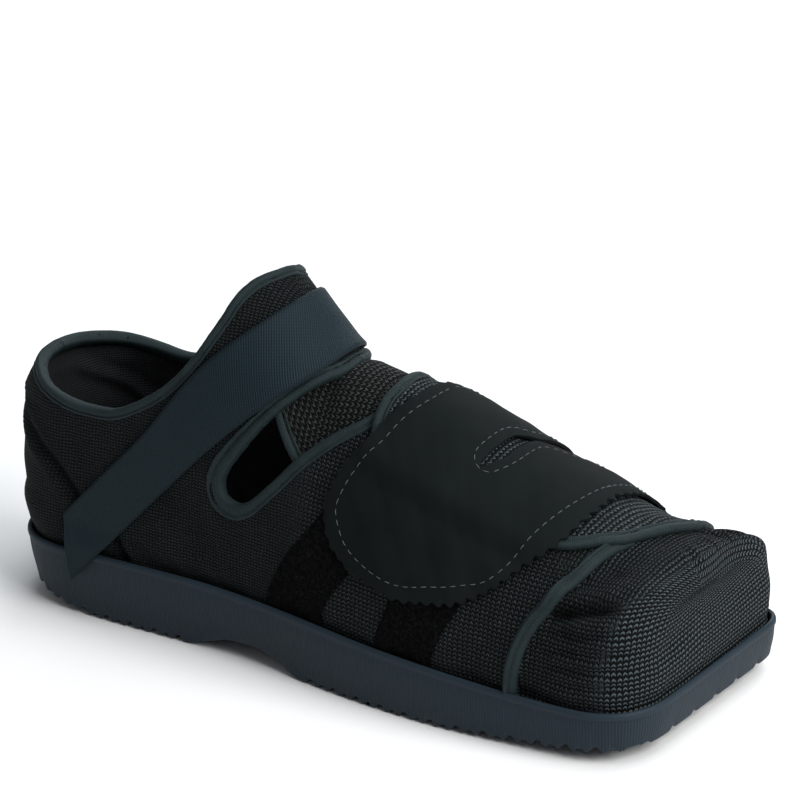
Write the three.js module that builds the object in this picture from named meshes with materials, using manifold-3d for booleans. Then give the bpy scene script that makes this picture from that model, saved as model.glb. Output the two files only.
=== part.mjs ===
// Post-operative shoe, right foot, size for a foot about 275 mm long: a wide, square-toed
// recovery shoe with a one-piece moulded sole, a hollow padded-mesh upper, and hook closures.
// Millimetres. +X points to the toe, +Y to the medial side, +Z up; the floor is z = 0.
// Tables are written with x measured from the back of the heel and y from the heel's middle
// line; the group at the end moves that origin under the middle of the shoe.
import * as THREE from "three";
import { mergeVertices } from "three/addons/utils/BufferGeometryUtils.js";
import Module from "manifold-3d";

const wasm = await Module();
wasm.setup();

// ---------- driving dimensions ----------
const LENGTH = 302; // sole, heel to toe
const HEEL_ARC = 40; // length of the rounded heel in plan
const HEEL_HALF = 40; // half width where that arc ends
const HEEL_POWER = 2.2;
const TOE_LAT = { start: 272, end: 24, power: 2.5 }; // outer front corner: big radius
const TOE_MED = { start: 285, end: 46, power: 2.6 }; // inner front corner: tight radius
const RIM_WIDTH = 2.2; // sole wall that stands round the foot of the upper
const RIM_DEPTH = 6; // how far the upper sinks behind that wall
const GAP = 0.3; // between pieces that touch
const WALL = 3.4; // padded mesh: face, foam and lining
const TONGUE = 3.0;
const FLAP = 2.4;
const PATCH = 2.0;
const STRAP = 2.0;
const SLACK = 0.8; // the webbing bridges the facets of the upper
const STRAP_WIDTH = 22;
const STRAP_SPREAD = 5; // it is this much wider where it bends over the instep
const STRAP_BOW = 4; // and its upper edge bows out by this much beside the collar
const STRAP_ANGLE = 46.1; // of the ankle strap in the side view, degrees
const INSOLE = 4;
const GROOVE = { pitch: 11.6, width: 4.2, depth: 2.0 };
const ARC_STEPS = 24; // facets over one section of the upper

// centre to mid-plane of the whole shoe, so that the box is centred on the origin
const CENTRE_X = LENGTH / 2 + 0.2;
const CENTRE_Y = 5.2;

// ---------- short tables ----------
// plan outline of the sole at its rim
const PLAN = {
  columns: ["x", "lateral", "medial"],
  rows: [
    [40, 40.0, 40.0],
    [60, 40.9, 40.2],
    [80, 41.3, 39.9],
    [100, 41.9, 39.8],
    [120, 43.4, 40.8],
    [140, 46.0, 43.4],
    [160, 49.2, 47.2],
    [180, 52.0, 51.2],
    [200, 54.0, 55.2],
    [220, 55.0, 58.4],
    [240, 55.2, 61.2],
    [260, 55.0, 63.2],
    [276, 54.4, 64.4],
    [302, 54.0, 64.8],
  ],
};
// sole in the side view: top of the wall, underside, and how far the wall leans in below
const SIDE = {
  columns: ["x", "rim", "under", "lean"],
  rows: [
    [0, 25.5, 9.0, 3.2],
    [8, 26.2, 6.6, 3.0],
    [22, 27.0, 3.8, 2.6],
    [38, 27.6, 1.4, 2.2],
    [50, 28.0, 0.0, 2.0],
    [92, 28.2, 0.0, 1.8],
    [102, 28.1, 2.6, 1.8],
    [114, 27.8, 6.2, 1.8],
    [126, 27.4, 6.8, 1.8],
    [138, 27.0, 4.4, 1.8],
    [150, 26.6, 0.0, 1.8],
    [180, 25.0, 0.0, 1.6],
    [212, 23.5, 0.0, 1.6],
    [232, 22.4, 0.8, 1.6],
    [254, 21.4, 2.2, 1.6],
    [278, 21.0, 4.0, 1.8],
    [302, 21.4, 5.8, 2.0],
  ],
};
// outer crest of the upper (a full dome over the ankle, which the collar then opens)
// and the power of its cross section, lateral and medial: 2 is round, 4 is boxy
const CREST = {
  columns: ["x", "z", "power", "medial"],
  rows: [
    [2, 166, 2.0, 2.0],
    [36, 173, 2.0, 2.0],
    [70, 175, 2.0, 2.0],
    [96, 171, 2.0, 2.0],
    [108, 160.5, 2.0, 2.0],
    [114, 152.5, 2.0, 2.0],
    [120, 145.2, 2.0, 2.0],
    [126, 137.6, 2.0, 2.0],
    [132, 130.5, 2.0, 2.0],
    [140, 122, 2.0, 2.0],
    [149, 116.5, 2.0, 2.0],
    [162, 112.2, 2.0, 2.0],
    [176, 108.6, 2.0, 1.98],
    [190, 104.6, 2.05, 1.95],
    [205, 98.6, 2.1, 1.92],
    [222, 91.2, 2.15, 1.9],
    [240, 84.6, 2.2, 1.84],
    [256, 79, 2.3, 1.74],
    [268, 73.6, 2.6, 1.7],
    [277, 69.4, 3.2, 2.4],
    [285, 67.2, 3.9, 3.6],
    [291, 66.2, 4.4, 4.3],
    [295, 64.2, 4.6, 4.6],
    [298, 59.6, 4.6, 4.6],
    [300, 52, 4.6, 4.6],
  ],
};
// collar line in the side view, heel to instep; the space above it is open
const COLLAR = [
  ["x", "z"],
  [-8, 96], [4, 95.4], [14, 93.4], [25, 90.6], [36, 88], [46, 86.8], [58, 88], [68, 92.5],
  [79, 99.5], [88, 107.5], [97, 118], [105.5, 131.5], [110, 138.4], [113.5, 142.4], [117, 144.6], [120.5, 145], [124, 143], [127, 140.5], [129, 190], [-8, 190],
];
// the U-shaped opening behind the vamp, one each side, meeting across the instep
const SIDE_OPENING = [
  ["x", "z"],
  [151.5, 150], [151, 115.5], [145, 112.5], [138, 107.5], [131, 101], [125.5, 95], [118, 85], [111.5, 75],
  [109.4, 69], [111, 64.8], [115, 62.8], [120, 63], [125, 66], [134.5, 75.5], [144, 86], [156, 96], [168, 103.5],
  [172.5, 109], [173, 150],
];
// plan outline of the tongue, half widths from the middle line
const TONGUE_PLAN = {
  columns: ["x", "lateral", "medial"],
  rows: [[121, 24, 24], [128, 29.5, 29.5], [138, 34, 33], [150, 36.5, 35], [170, 36, 35], [200, 32, 32], [228, 26, 26]],
};
// plan outline of the inner flap that folds over the instep from the medial side
const FLAP_PLAN = [
  ["x", "y"],
  [170, 70], [168.5, 14], [170, -4], [169.5, -14], [171, -22], [175, -27.5], [186, -29.5], [220, -31], [246, -31],
  [257, -28.5], [264, -24.5], [270, -18], [274.5, -8], [278, 4], [281, 16], [281.5, 28], [279, 40], [274, 52], [268, 70],
];
// closure patch on the lateral side, seen from that side
const PATCH_SIDE = [
  ["x", "z"],
  [184, 135], [184, 112], [182, 110.5], [178.5, 108], [175.5, 104], [172, 99], [168.5, 93.5], [164.5, 87], [161.8, 80.5],
  [161, 74.5], [162, 69], [165.5, 61.5], [171, 56], [178.5, 51.8], [189, 48.6], [202, 47.4], [214, 48.8], [225, 51.8],
  [234.5, 57], [241, 63.5], [248, 69.5], [256, 75.4], [260, 79.2], [262, 82], [266, 135],
];
// the two straps' outer edges where they cross the instep, in plan
const PATCH_PLAN = [
  ["x", "y"],
  [150, -80], [150, -30], [181.5, -7], [183, 8], [185, 19], [186, 80], [261, 80], [261.5, 40], [263.2, 16], [262.3, 7],
  [261.2, -13], [257.5, -31], [262, -80],
];
// the slot that parts it into two straps, in plan
const PATCH_SLOT = [
  ["x", "y"],
  [216.6, -21.5], [217, -9], [218.4, 3], [221.8, 12], [223, 30], [223, 80], [236, 80], [235, 30], [231, 13], [225, 1], [221.5, -11],
];

// ---------- small functions ----------
function column(table, name) {
  return table.columns.indexOf(name);
}
function at(table, name, x) {
  const c = column(table, name), rows = table.rows, last = rows.length - 1;
  if (x <= rows[0][0]) return rows[0][c];
  for (let i = 0; i < last; i++)
    if (x <= rows[i + 1][0]) {
      const t = (x - rows[i][0]) / (rows[i + 1][0] - rows[i][0]);
      return rows[i][c] + t * (rows[i + 1][c] - rows[i][c]);
    }
  return rows[last][c];
}
function corner(x, start, end, power) {
  const t = Math.min(1, Math.max(0, (x - start) / (end - start)));
  return Math.pow(Math.max(0, 1 - Math.pow(t, power)), 1 / power);
}
// half widths of the plan outline at x, drawn in by `inset`
function outline(x, inset) {
  const back = inset, front = LENGTH - inset;
  if (x < HEEL_ARC) {
    const w = (HEEL_HALF - inset) * corner(2 * HEEL_ARC - x, HEEL_ARC, 2 * HEEL_ARC - back, HEEL_POWER);
    return { lateral: w, medial: w };
  }
  const side = (name, toe) => {
    const w = at(PLAN, name, x) - inset;
    return toe.end + (w - toe.end) * corner(x, toe.start, front, toe.power);
  };
  return { lateral: side("lateral", TOE_LAT), medial: side("medial", TOE_MED) };
}
function crestZ(x, off) {
  const shift = off * Math.min(1, Math.max(0, (x - 280) / 14));
  const xc = x - shift, slope = Math.min(2.2, Math.abs(at(CREST, "z", xc + 3) - at(CREST, "z", xc - 3)) / 6);
  return at(CREST, "z", xc) + off * (xc > 288 ? 1 : Math.hypot(1, slope));
}
// stations along the foot, closer together round the heel and the toe corners
function stations(inset) {
  const xs = [], back = inset + 0.15, front = LENGTH - inset;
  for (let i = 0; i < 8; i++) xs.push(HEEL_ARC - (HEEL_ARC - back) * Math.cos((i / 8) * (Math.PI / 2)));
  for (const x of [40, 60, 80, 96, 108, 114, 120, 126, 132, 140, 149, 162, 176, 190, 205, 222, 240, 256, 268, 277]) xs.push(x);
  for (const t of [0.34, 0.6, 0.78, 0.9, 0.97, 1]) xs.push(277 + (front - 277) * t);
  return xs;
}
const floorZ = (x) => at(SIDE, "rim", x) - RIM_DEPTH; // the ledge inside the rim

// ---------- geometry helpers ----------
function toSolid(geometry) {
  const g = geometry.index ? geometry.toNonIndexed() : geometry.clone();
  for (const name of Object.keys(g.attributes)) if (name !== "position") g.deleteAttribute(name);
  const m = mergeVertices(g, 1e-4);
  return new wasm.Manifold(
    new wasm.Mesh({ numProp: 3, vertProperties: m.attributes.position.array, triVerts: new Uint32Array(m.index.array) }),
  );
}
function toGeometry(solid) {
  const m = solid.getMesh(), n = m.numProp, v = new Float32Array(m.numVert * 3);
  for (let i = 0; i < m.numVert; i++) v.set(m.vertProperties.subarray(i * n, i * n + 3), i * 3);
  const g = new THREE.BufferGeometry();
  g.setAttribute("position", new THREE.BufferAttribute(v, 3));
  g.setIndex(new THREE.BufferAttribute(new Uint32Array(m.triVerts), 1));
  g.computeVertexNormals();
  return g;
}
// closed body through rings of equal length, with a fan over each end
function loft(rings) {
  const n = rings[0].length, pos = [], idx = [];
  for (const r of rings) for (const p of r) pos.push(p.x, p.y, p.z);
  for (let k = 0; k + 1 < rings.length; k++)
    for (let i = 0; i < n; i++) {
      const a = k * n + i, b = k * n + ((i + 1) % n), c = a + n, d = b + n;
      idx.push(a, b, d, a, d, c);
    }
  for (const [k, flip] of [[0, true], [rings.length - 1, false]]) {
    const m = new THREE.Vector3();
    for (const p of rings[k]) m.addScaledVector(p, 1 / n);
    const c = pos.length / 3;
    pos.push(m.x, m.y, m.z);
    for (let i = 0; i < n; i++) {
      const a = k * n + i, b = k * n + ((i + 1) % n);
      if (flip) idx.push(c, b, a);
      else idx.push(c, a, b);
    }
  }
  const g = new THREE.BufferGeometry();
  g.setAttribute("position", new THREE.BufferAttribute(new Float32Array(pos), 3));
  g.setIndex(idx);
  let s = toSolid(g);
  if (s.volume() < 0) {
    for (let i = 0; i < idx.length; i += 3) [idx[i + 1], idx[i + 2]] = [idx[i + 2], idx[i + 1]];
    g.setIndex(idx);
    s = toSolid(g);
  }
  return s;
}
const rowsOf = (table) => table.slice(1).map(([a, b]) => new THREE.Vector2(a, b));
// prism of a side-view outline, from y0 to y1
function sidePrism(points, y0, y1) {
  const g = new THREE.ExtrudeGeometry(new THREE.Shape(points), { depth: y1 - y0, bevelEnabled: false });
  g.rotateX(Math.PI / 2);
  g.translate(0, y1, 0);
  return toSolid(g);
}
// prism of a plan outline, from z0 to z1
function planPrism(points, z0, z1) {
  const g = new THREE.ExtrudeGeometry(new THREE.Shape(points), { depth: z1 - z0, bevelEnabled: false });
  g.translate(0, 0, z0);
  return toSolid(g);
}

// ---------- the upper's own function ----------
// A section of the foot form at x, grown by `off`: a power curve from the lateral ledge over the crest to the medial ledge.
function section(x, off, bottom) {
  const w = outline(x, RIM_WIDTH + GAP - off);
  const xs = Math.min(x, 300), top = crestZ(x, off), base = floorZ(x) + 3;
  const ring = [new THREE.Vector3(x, -w.lateral, floorZ(x) + bottom)];
  for (let i = 0; i <= ARC_STEPS; i++) {
    const a = (Math.PI * i) / ARC_STEPS, c = Math.cos(a), s = Math.sin(a), p = at(CREST, c > 0 ? "power" : "medial", xs);
    const y = -Math.sign(c) * Math.pow(Math.abs(c), 2 / p) * (c > 0 ? w.lateral : w.medial);
    ring.push(new THREE.Vector3(x, y, base + (top - base) * Math.pow(Math.abs(s), 2 / p)));
  }
  ring.push(new THREE.Vector3(x, w.medial, floorZ(x) + bottom));
  return ring;
}
const form = (off, bottom = GAP) => loft(stations(RIM_WIDTH + GAP - off).map((x) => section(x, off, bottom)));
// half width of the grown form at height z
function halfAt(x, z, off, side) {
  const w = outline(x, RIM_WIDTH + GAP - off)[side], top = crestZ(x, off), base = floorZ(x) + 3, p = at(CREST, side === "lateral" ? "power" : "medial", x);
  const t = Math.min(1, Math.max(0, (z - base) / (top - base)));
  return w * Math.pow(Math.max(0, 1 - Math.pow(t, p)), 1 / p);
}

function makeUpper() {
  return form(0)
    .subtract(form(-WALL, -8))
    .subtract(sidePrism(rowsOf(COLLAR), -90, 90))
    .subtract(sidePrism(rowsOf(SIDE_OPENING), -90, 90));
}

function makeTongue() {
  const rows = TONGUE_PLAN.rows, ring = [];
  for (const [x, lateral] of rows) ring.push(new THREE.Vector2(x, -lateral));
  for (const [x, , medial] of [...rows].reverse()) ring.push(new THREE.Vector2(x, medial));
  const outer = form(-WALL - GAP, -9), inner = form(-WALL - GAP - TONGUE, -12);
  return outer
    .subtract(inner)
    .intersect(planPrism(ring, 62, 200))
    .subtract(sidePrism([[90, 144], [140, 144], [140, 220], [90, 220]].map(([a, b]) => new THREE.Vector2(a, b)), -90, 90));
}

// the flap lies over the upper; it stops at the rim of the sole on the medial side
function makeFlap() {
  return form(GAP + FLAP, 5).subtract(form(GAP, -9)).intersect(planPrism(rowsOf(FLAP_PLAN), 34, 200));
}

// The patch lies over the flap and stands one flap's thickness off the upper beyond it.
function makePatch() {
  const low = 2 * GAP + FLAP;
  const skin = form(low + PATCH, 5).subtract(form(low, -9));
  const lateral = sidePrism(rowsOf(PATCH_SIDE), -90, 0);
  const medial = sidePrism([[150, 33], [280, 33], [280, 135], [150, 135]].map(([a, b]) => new THREE.Vector2(a, b)), -0.01, 90);
  return skin.intersect(lateral.add(medial)).intersect(planPrism(rowsOf(PATCH_PLAN), 20, 200)).subtract(planPrism(rowsOf(PATCH_SLOT), 20, 200));
}

// The ankle strap: one plane of webbing wrapped round the ankle, each thread of it in a plane that leans with the strap.
function makeStrap() {
  const angle = THREE.MathUtils.degToRad(STRAP_ANGLE);
  const d = new THREE.Vector2(Math.cos(angle), Math.sin(angle)), n = new THREE.Vector2(-Math.sin(angle), Math.cos(angle));
  const start = new THREE.Vector2(42, 33); // middle of the strap at the lateral heel
  // the strap's distance from the middle plane at a place in the side view, clear of the rim of the sole
  const across = (x, z, side, off) => {
    const y = halfAt(x, z, off, side);
    const rim = outline(x, 0)[side] + 0.6 + (off - SLACK);
    const near = Math.min(1, Math.max(0, (at(SIDE, "rim", x) + 13 - z) / 12));
    return side === "lateral" ? Math.max(y, y + (rim - y) * near) : y;
  };
  const rows = [-0.5, -0.25, 0, 0.25, 0.5];
  const LENGTHS = 36;
  const path = (v, off) => {
    // march from the lateral end over the crest to the medial end in the plane of this thread
    const place = (s) => {
      const spread = STRAP_SPREAD * Math.pow(Math.min(1, Math.max(0, (s - 70) / 60)), 2);
      const bow = STRAP_BOW * Math.pow(Math.sin(Math.PI * Math.min(1, Math.max(0, (s - 48) / 104))), 2);
      return start.clone().addScaledVector(d, s).addScaledVector(n, v * STRAP_WIDTH + (v - 0.5) * spread + (v + 0.5) * bow);
    };
    let top = 0;
    for (let hi = 190, k = 0; k < 40; k++) {
      const m = (top + hi) / 2, q = place(m);
      if (q.y < crestZ(q.x, off)) top = m; else hi = m;
    }
    // lateral end: the cut slants down to a tip past the rim; medial end: at the rim
    const lowLateral = -5.3 + 16.7 * v, lowMedial = (at(SIDE, "rim", place(0).x) + 1.2 - place(0).y) / d.y + 3;
    const pts = [];
    for (let i = 0; i <= LENGTHS; i++) {
      const t = i / LENGTHS, a = Math.PI * t, side = t <= 0.5 ? "lateral" : "medial";
      const low = t <= 0.5 ? lowLateral : lowMedial, s = low + (top - low) * Math.sin(a);
      const { x, y: z } = place(s);
      const y = i * 2 === LENGTHS ? 0 : across(x, Math.min(z, crestZ(x, off) - 0.01), side, off);
      pts.push(new THREE.Vector3(x, side === "lateral" ? -y : y, z));
    }
    return pts;
  };
  const inner = rows.map((v) => path(v, SLACK)), outer = rows.map((v) => path(v, SLACK + STRAP));
  const rings = [];
  for (let i = 0; i <= LENGTHS; i++) rings.push([...inner.map((p) => p[i]), ...outer.map((p) => p[i]).reverse()]);
  return loft(rings);
}

// ---------- the sole ----------
function soleRing(x) {
  const w = outline(x, 0), rim = at(SIDE, "rim", x), under = at(SIDE, "under", x), lean = at(SIDE, "lean", x);
  const ring = [], lat = w.lateral, med = w.medial, k = Math.min(1, lat / 12);
  const low = (v) => Math.max(0.2, v - lean * k);
  ring.push([-lat + 0.8 * k, rim], [-lat, rim - 0.9], [-low(lat) - 0.2 * k, under + 1.0], [-low(lat) + 0.8 * k, under]);
  ring.push([low(med) - 0.8 * k, under], [low(med) + 0.2 * k, under + 1.0], [med, rim - 0.9], [med - 0.8 * k, rim]);
  return ring.map(([y, z]) => new THREE.Vector3(x, y, z));
}
function soleBody() {
  const xs = [0.4, 1.6, 4, 8, 13, 19, 26, 33, 38, 44, 50, 60, 76, 92, 102, 114, 126, 138, 150, 165, 180, 196, 212, 232, 254, 266, 274];
  for (const t of [0.2, 0.42, 0.62, 0.78, 0.89, 0.96, 1]) xs.push(274 + (LENGTH - 274) * t);
  return loft(xs.map(soleRing));
}
// the shallow tray that takes the foot of the upper and the insole
function tray() {
  return loft(
    stations(RIM_WIDTH).map((x) => {
      const w = outline(x, RIM_WIDTH);
      return [[-w.lateral, floorZ(x)], [w.medial, floorZ(x)], [w.medial, 60], [-w.lateral, 60]].map(([y, z]) => new THREE.Vector3(x, y, z));
    }),
  );
}
// V-sided grooves across the sole and along it leave the square lugs of the tread
function grooves() {
  const cut = [], half = GROOVE.width / 2, across = [];
  for (let x = 8; x < 96; x += GROOVE.pitch) across.push(x);
  for (let x = 156; x < 299; x += GROOVE.pitch) across.push(x);
  for (const x of across) {
    const z = at(SIDE, "under", x) - 1.2;
    cut.push(sidePrism([[x - half - 1, z], [x + half + 1, z], [x + half * 0.35, z + 1.2 + GROOVE.depth], [x - half * 0.35, z + 1.2 + GROOVE.depth]].map(([a, b]) => new THREE.Vector2(a, b)), -80, 80));
  }
  const along = [];
  for (const y of [-37, -21, -5, 11, 27, 43]) along.push([y, 161, 306]);
  for (const y of [-20, -4, 12]) along.push([y, -4, 92]);
  for (const [y, x0, x1] of along) {
    const rings = [];
    for (const x of [x0, ...SIDE.rows.map((r) => r[0]).filter((v) => v > x0 && v < x1), x1]) {
      const z = at(SIDE, "under", x) - 1.2;
      rings.push([[y - half - 1, z], [y + half + 1, z], [y + half * 0.35, z + 1.2 + GROOVE.depth], [y - half * 0.35, z + 1.2 + GROOVE.depth]].map(([a, b]) => new THREE.Vector3(x, a, b)));
    }
    cut.push(loft(rings));
  }
  return cut;
}
function makeSole() {
  let s = soleBody().subtract(tray());
  for (const g of grooves()) s = s.subtract(g);
  return s;
}
function makeInsole() {
  const inset = RIM_WIDTH + GAP + WALL + GAP;
  const xs = stations(inset);
  return loft(
    xs.map((x) => {
      const w = outline(x, inset), z = floorZ(x) + GAP, k = Math.min(1.2, w.lateral / 4);
      return [[-w.lateral, z], [w.medial, z], [w.medial, z + INSOLE - 1], [w.medial - k, z + INSOLE], [-w.lateral + k, z + INSOLE], [-w.lateral, z + INSOLE - 1]].map(
        ([y, h]) => new THREE.Vector3(x, y, h),
      );
    }),
  );
}

// ---------- assembly ----------
const PIECES = [
  { name: "sole", make: makeSole, color: 0x3a444c, roughness: 0.72 },
  { name: "insole", make: makeInsole, color: 0x23272b, roughness: 0.95 },
  { name: "upper", make: makeUpper, color: 0x15181b, roughness: 0.9 },
  { name: "tongue", make: makeTongue, color: 0x1c1e20, roughness: 0.9 },
  { name: "instep_flap", make: makeFlap, color: 0x24303a, roughness: 0.85 },
  { name: "closure_patch", make: makePatch, color: 0x1b1f21, roughness: 0.85 },
  { name: "ankle_strap", make: makeStrap, color: 0x2a3842, roughness: 0.8 },
];
const shoe = new THREE.Group();
for (const { name, make, color, roughness } of PIECES) {
  const mesh = new THREE.Mesh(toGeometry(make()), new THREE.MeshStandardMaterial({ color, roughness, metalness: 0 }));
  mesh.name = name;
  shoe.add(mesh);
}
shoe.position.set(-CENTRE_X, -CENTRE_Y, 0);

export default shoe;
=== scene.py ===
import math

import bpy
import numpy as np
from mathutils import Matrix, Vector, geometry


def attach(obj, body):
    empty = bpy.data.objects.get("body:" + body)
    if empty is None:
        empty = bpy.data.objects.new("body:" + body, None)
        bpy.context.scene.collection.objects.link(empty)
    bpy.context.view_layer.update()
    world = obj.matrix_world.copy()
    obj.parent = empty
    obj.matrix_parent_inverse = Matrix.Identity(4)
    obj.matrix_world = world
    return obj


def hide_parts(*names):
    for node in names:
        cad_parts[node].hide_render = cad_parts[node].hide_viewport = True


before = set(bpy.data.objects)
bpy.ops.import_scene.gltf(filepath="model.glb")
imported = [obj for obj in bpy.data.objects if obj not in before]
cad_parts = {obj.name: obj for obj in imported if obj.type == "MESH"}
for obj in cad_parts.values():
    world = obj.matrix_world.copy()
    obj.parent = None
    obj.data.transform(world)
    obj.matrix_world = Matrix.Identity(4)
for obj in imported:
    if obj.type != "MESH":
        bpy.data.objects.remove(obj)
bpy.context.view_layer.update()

# Post-operative shoe, right foot. Everything below is written in the shoe's own millimetres
# (x from the back of the heel, y to the medial side, z up) and moved into the row frame by row().
CENTRE = np.array([151.2, 5.2, 0.0])


def row(p):
    return (np.asarray(p, float) - CENTRE) / 1000.0


# ------------------------------------------------------------------ tables
PLAN = np.array([
    (40, 40, 40), (60, 40.9, 40.2), (80, 41.3, 39.9), (100, 41.9, 39.8), (120, 43.4, 40.8), (140, 46, 43.4),
    (160, 49.2, 47.2), (180, 52, 51.2), (200, 54, 55.2), (220, 55, 58.4), (240, 55.2, 61.2), (260, 55, 63.2),
    (276, 54.4, 64.4), (302, 54, 64.8)], float)
SIDE = np.array([
    (0, 25.5, 9, 3.2), (8, 26.2, 6.6, 3), (22, 27, 3.8, 2.6), (38, 27.6, 1.4, 2.2), (50, 28, 0, 2), (92, 28.2, 0, 1.8),
    (102, 28.1, 2.6, 1.8), (114, 27.8, 6.2, 1.8), (126, 27.4, 6.8, 1.8), (138, 27, 4.4, 1.8), (150, 26.6, 0, 1.2),
    (180, 25, 0, 0.6), (212, 23.5, 0, 0.5), (232, 22.4, 0.8, 0.8), (254, 21.4, 2.2, 1.4), (278, 21, 4, 1.8),
    (302, 21.4, 5.8, 2)], float)
CREST = np.array([
    (2, 166, 2), (36, 173, 2), (70, 175, 2), (96, 171, 2), (108, 160.5, 2), (114, 152.5, 2), (120, 145.2, 2),
    (126, 137.6, 2), (132, 130.5, 2), (140, 122, 2), (149, 116.5, 2), (162, 112.2, 2), (176, 108.6, 2),
    (190, 104.6, 2.05), (205, 98.6, 2.1), (222, 91.2, 2.15), (240, 84.6, 2.2), (256, 79, 2.3), (268, 73.6, 2.6),
    (277, 69.4, 3.2), (285, 67.2, 3.9), (291, 66.2, 4.4), (295, 64.2, 4.6), (298, 59.6, 4.6), (300, 52, 4.6)], float)
MEDIAL = np.array([(2, 2), (162, 2), (176, 1.98), (190, 1.95), (205, 1.92), (222, 1.9), (240, 1.84), (256, 1.74),
                   (268, 1.7), (277, 2.4), (285, 3.6), (291, 4.3), (295, 4.6), (300, 4.6)], float)
COLLAR = [(-8, 96), (4, 95.4), (14, 93.4), (25, 90.6), (36, 88), (46, 86.8), (58, 88), (68, 92.5), (79, 99.5),
          (88, 107.8), (96.4, 118.4), (104.4, 132), (108.2, 139.8), (111.4, 144.2), (114.8, 147), (118.2, 148), (122, 148), (126, 147), (128, 146)]
OPENING = [(151.3, 122), (151, 115.5), (145, 112.5), (138, 107.5), (131, 101), (125.5, 95), (118, 85), (111.5, 75),
           (109.4, 69), (111, 64.8), (115, 62.8), (120, 63), (125, 66), (134.5, 75.5), (144, 86), (156, 96),
           (168, 103.5), (172.5, 109), (173, 122)]
LENGTH, RIM_WIDTH, WALL = 302.0, 2.2, 3.4
INSET = 2.5


def pchip(xs, ys):
    xs, ys = np.asarray(xs, float), np.asarray(ys, float)
    h = np.diff(xs)
    d = np.diff(ys) / h
    m = np.zeros_like(ys)
    w1, w2 = 2 * h[1:] + h[:-1], h[1:] + 2 * h[:-1]
    same = d[:-1] * d[1:] > 0
    with np.errstate(divide="ignore", invalid="ignore"):
        m[1:-1] = np.where(same, (w1 + w2) / (w1 / d[:-1] + w2 / d[1:]), 0)
    m[0], m[-1] = d[0], d[-1]

    def f(x):
        x = np.clip(np.asarray(x, float), xs[0], xs[-1])
        k = np.clip(np.searchsorted(xs, x, side="right") - 1, 0, len(h) - 1)
        t = (x - xs[k]) / h[k]
        return ((2 * t**3 - 3 * t**2 + 1) * ys[k] + (t**3 - 2 * t**2 + t) * h[k] * m[k]
                + (-2 * t**3 + 3 * t**2) * ys[k + 1] + (t**3 - t**2) * h[k] * m[k + 1])
    return f


plan_lat, plan_med = pchip(PLAN[:, 0], PLAN[:, 1]), pchip(PLAN[:, 0], PLAN[:, 2])
rim_z, under_z, lean_at = (pchip(SIDE[:, 0], SIDE[:, k]) for k in (1, 2, 3))
crest_z, crest_p = pchip(CREST[:, 0], CREST[:, 1]), pchip(CREST[:, 0], CREST[:, 2])
medial_p = pchip(MEDIAL[:, 0], MEDIAL[:, 1])


def step(a, b, x):
    t = np.clip((np.asarray(x, float) - a) / (b - a), 0, 1)
    return t * t * (3 - 2 * t)


def corner(x, start, end, power):
    t = np.clip((x - start) / (end - start), 0, 1)
    return np.maximum(0, 1 - t**power) ** (1 / power)


def outline(x, inset):
    """Half widths (lateral, medial) of the plan outline at x, drawn in by inset."""
    x = np.asarray(x, float)
    heel = (40 - inset) * corner(80 - x, 40, 80 - inset, 2.2)
    lat = 24 + (plan_lat(x) - inset - 24) * corner(x, 272, LENGTH - inset, 2.5)
    med = 46 + (plan_med(x) - inset - 46) * corner(x, 285, LENGTH - inset, 2.6)
    return np.where(x < 40, heel, lat), np.where(x < 40, heel, med)


def floor_z(x):
    return rim_z(x) - 6.0


# ------------------------------------------------------------------ the grid of the upper
NJ = 90
XS = np.concatenate([
    40 - 37.5 * np.cos(np.linspace(0, np.pi / 2, 31)[:-1]),
    np.arange(40, 277, 1.5),
    277 + 22.5 * np.sin(np.linspace(0, np.pi / 2, 30))])
N_BODY = len(XS)
KS = np.concatenate([np.ones(N_BODY), np.cos(np.linspace(0, np.pi / 2, 32)[1:] ** 1.0)])
KS[-1] = 0
NI = len(KS)


def half_section(w, top, p, base, bottom):
    s = np.linspace(0, 1, 220)
    a = s * s * (3 - 2 * s) * np.pi / 2
    y = np.concatenate([[w], w * np.cos(a) ** (2 / p)])
    z = np.concatenate([[bottom], base + (top - base) * np.sin(a) ** (2 / p)])
    y[-1], z[-1] = 0, top
    L = np.concatenate([[0], np.cumsum(np.hypot(np.diff(y), np.diff(z)))])
    t = np.linspace(0, L[-1], NJ + 1)
    return np.interp(t, L, y), np.interp(t, L, z), L[-1]


P0 = np.zeros((NI, 2 * NJ + 1, 3))
GIRTH = np.zeros((NI, 2))
for i in range(NI):
    x = XS[min(i, N_BODY - 1)]
    wl, wm = outline(x, INSET)
    top, p = float(crest_z(min(x, 299.6))), float(crest_p(min(x, 299.6)))
    base, bottom = float(floor_z(x)) + 3, float(floor_z(x)) + 0.3
    yl, zl, gl = half_section(float(wl), top, p, base, bottom)
    ym, zm, gm = half_section(float(wm), top, float(medial_p(min(x, 299.6))), base, bottom)
    k = KS[i]
    if i >= N_BODY:  # the front wall, drawn together towards the middle line
        zc = (zl + zm) / 2
        zl, zm = zl * k + zc * (1 - k), zm * k + zc * (1 - k)
    bulge = 0.9 * (1 - k * k) * (1 - (np.arange(NJ + 1) / NJ) ** 4)
    P0[i, : NJ + 1] = np.stack([x + bulge, -yl * k, zl], 1)
    P0[i, NJ:] = np.stack([x + bulge, ym * k, zm], 1)[::-1]
    GIRTH[i] = gl, gm


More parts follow.
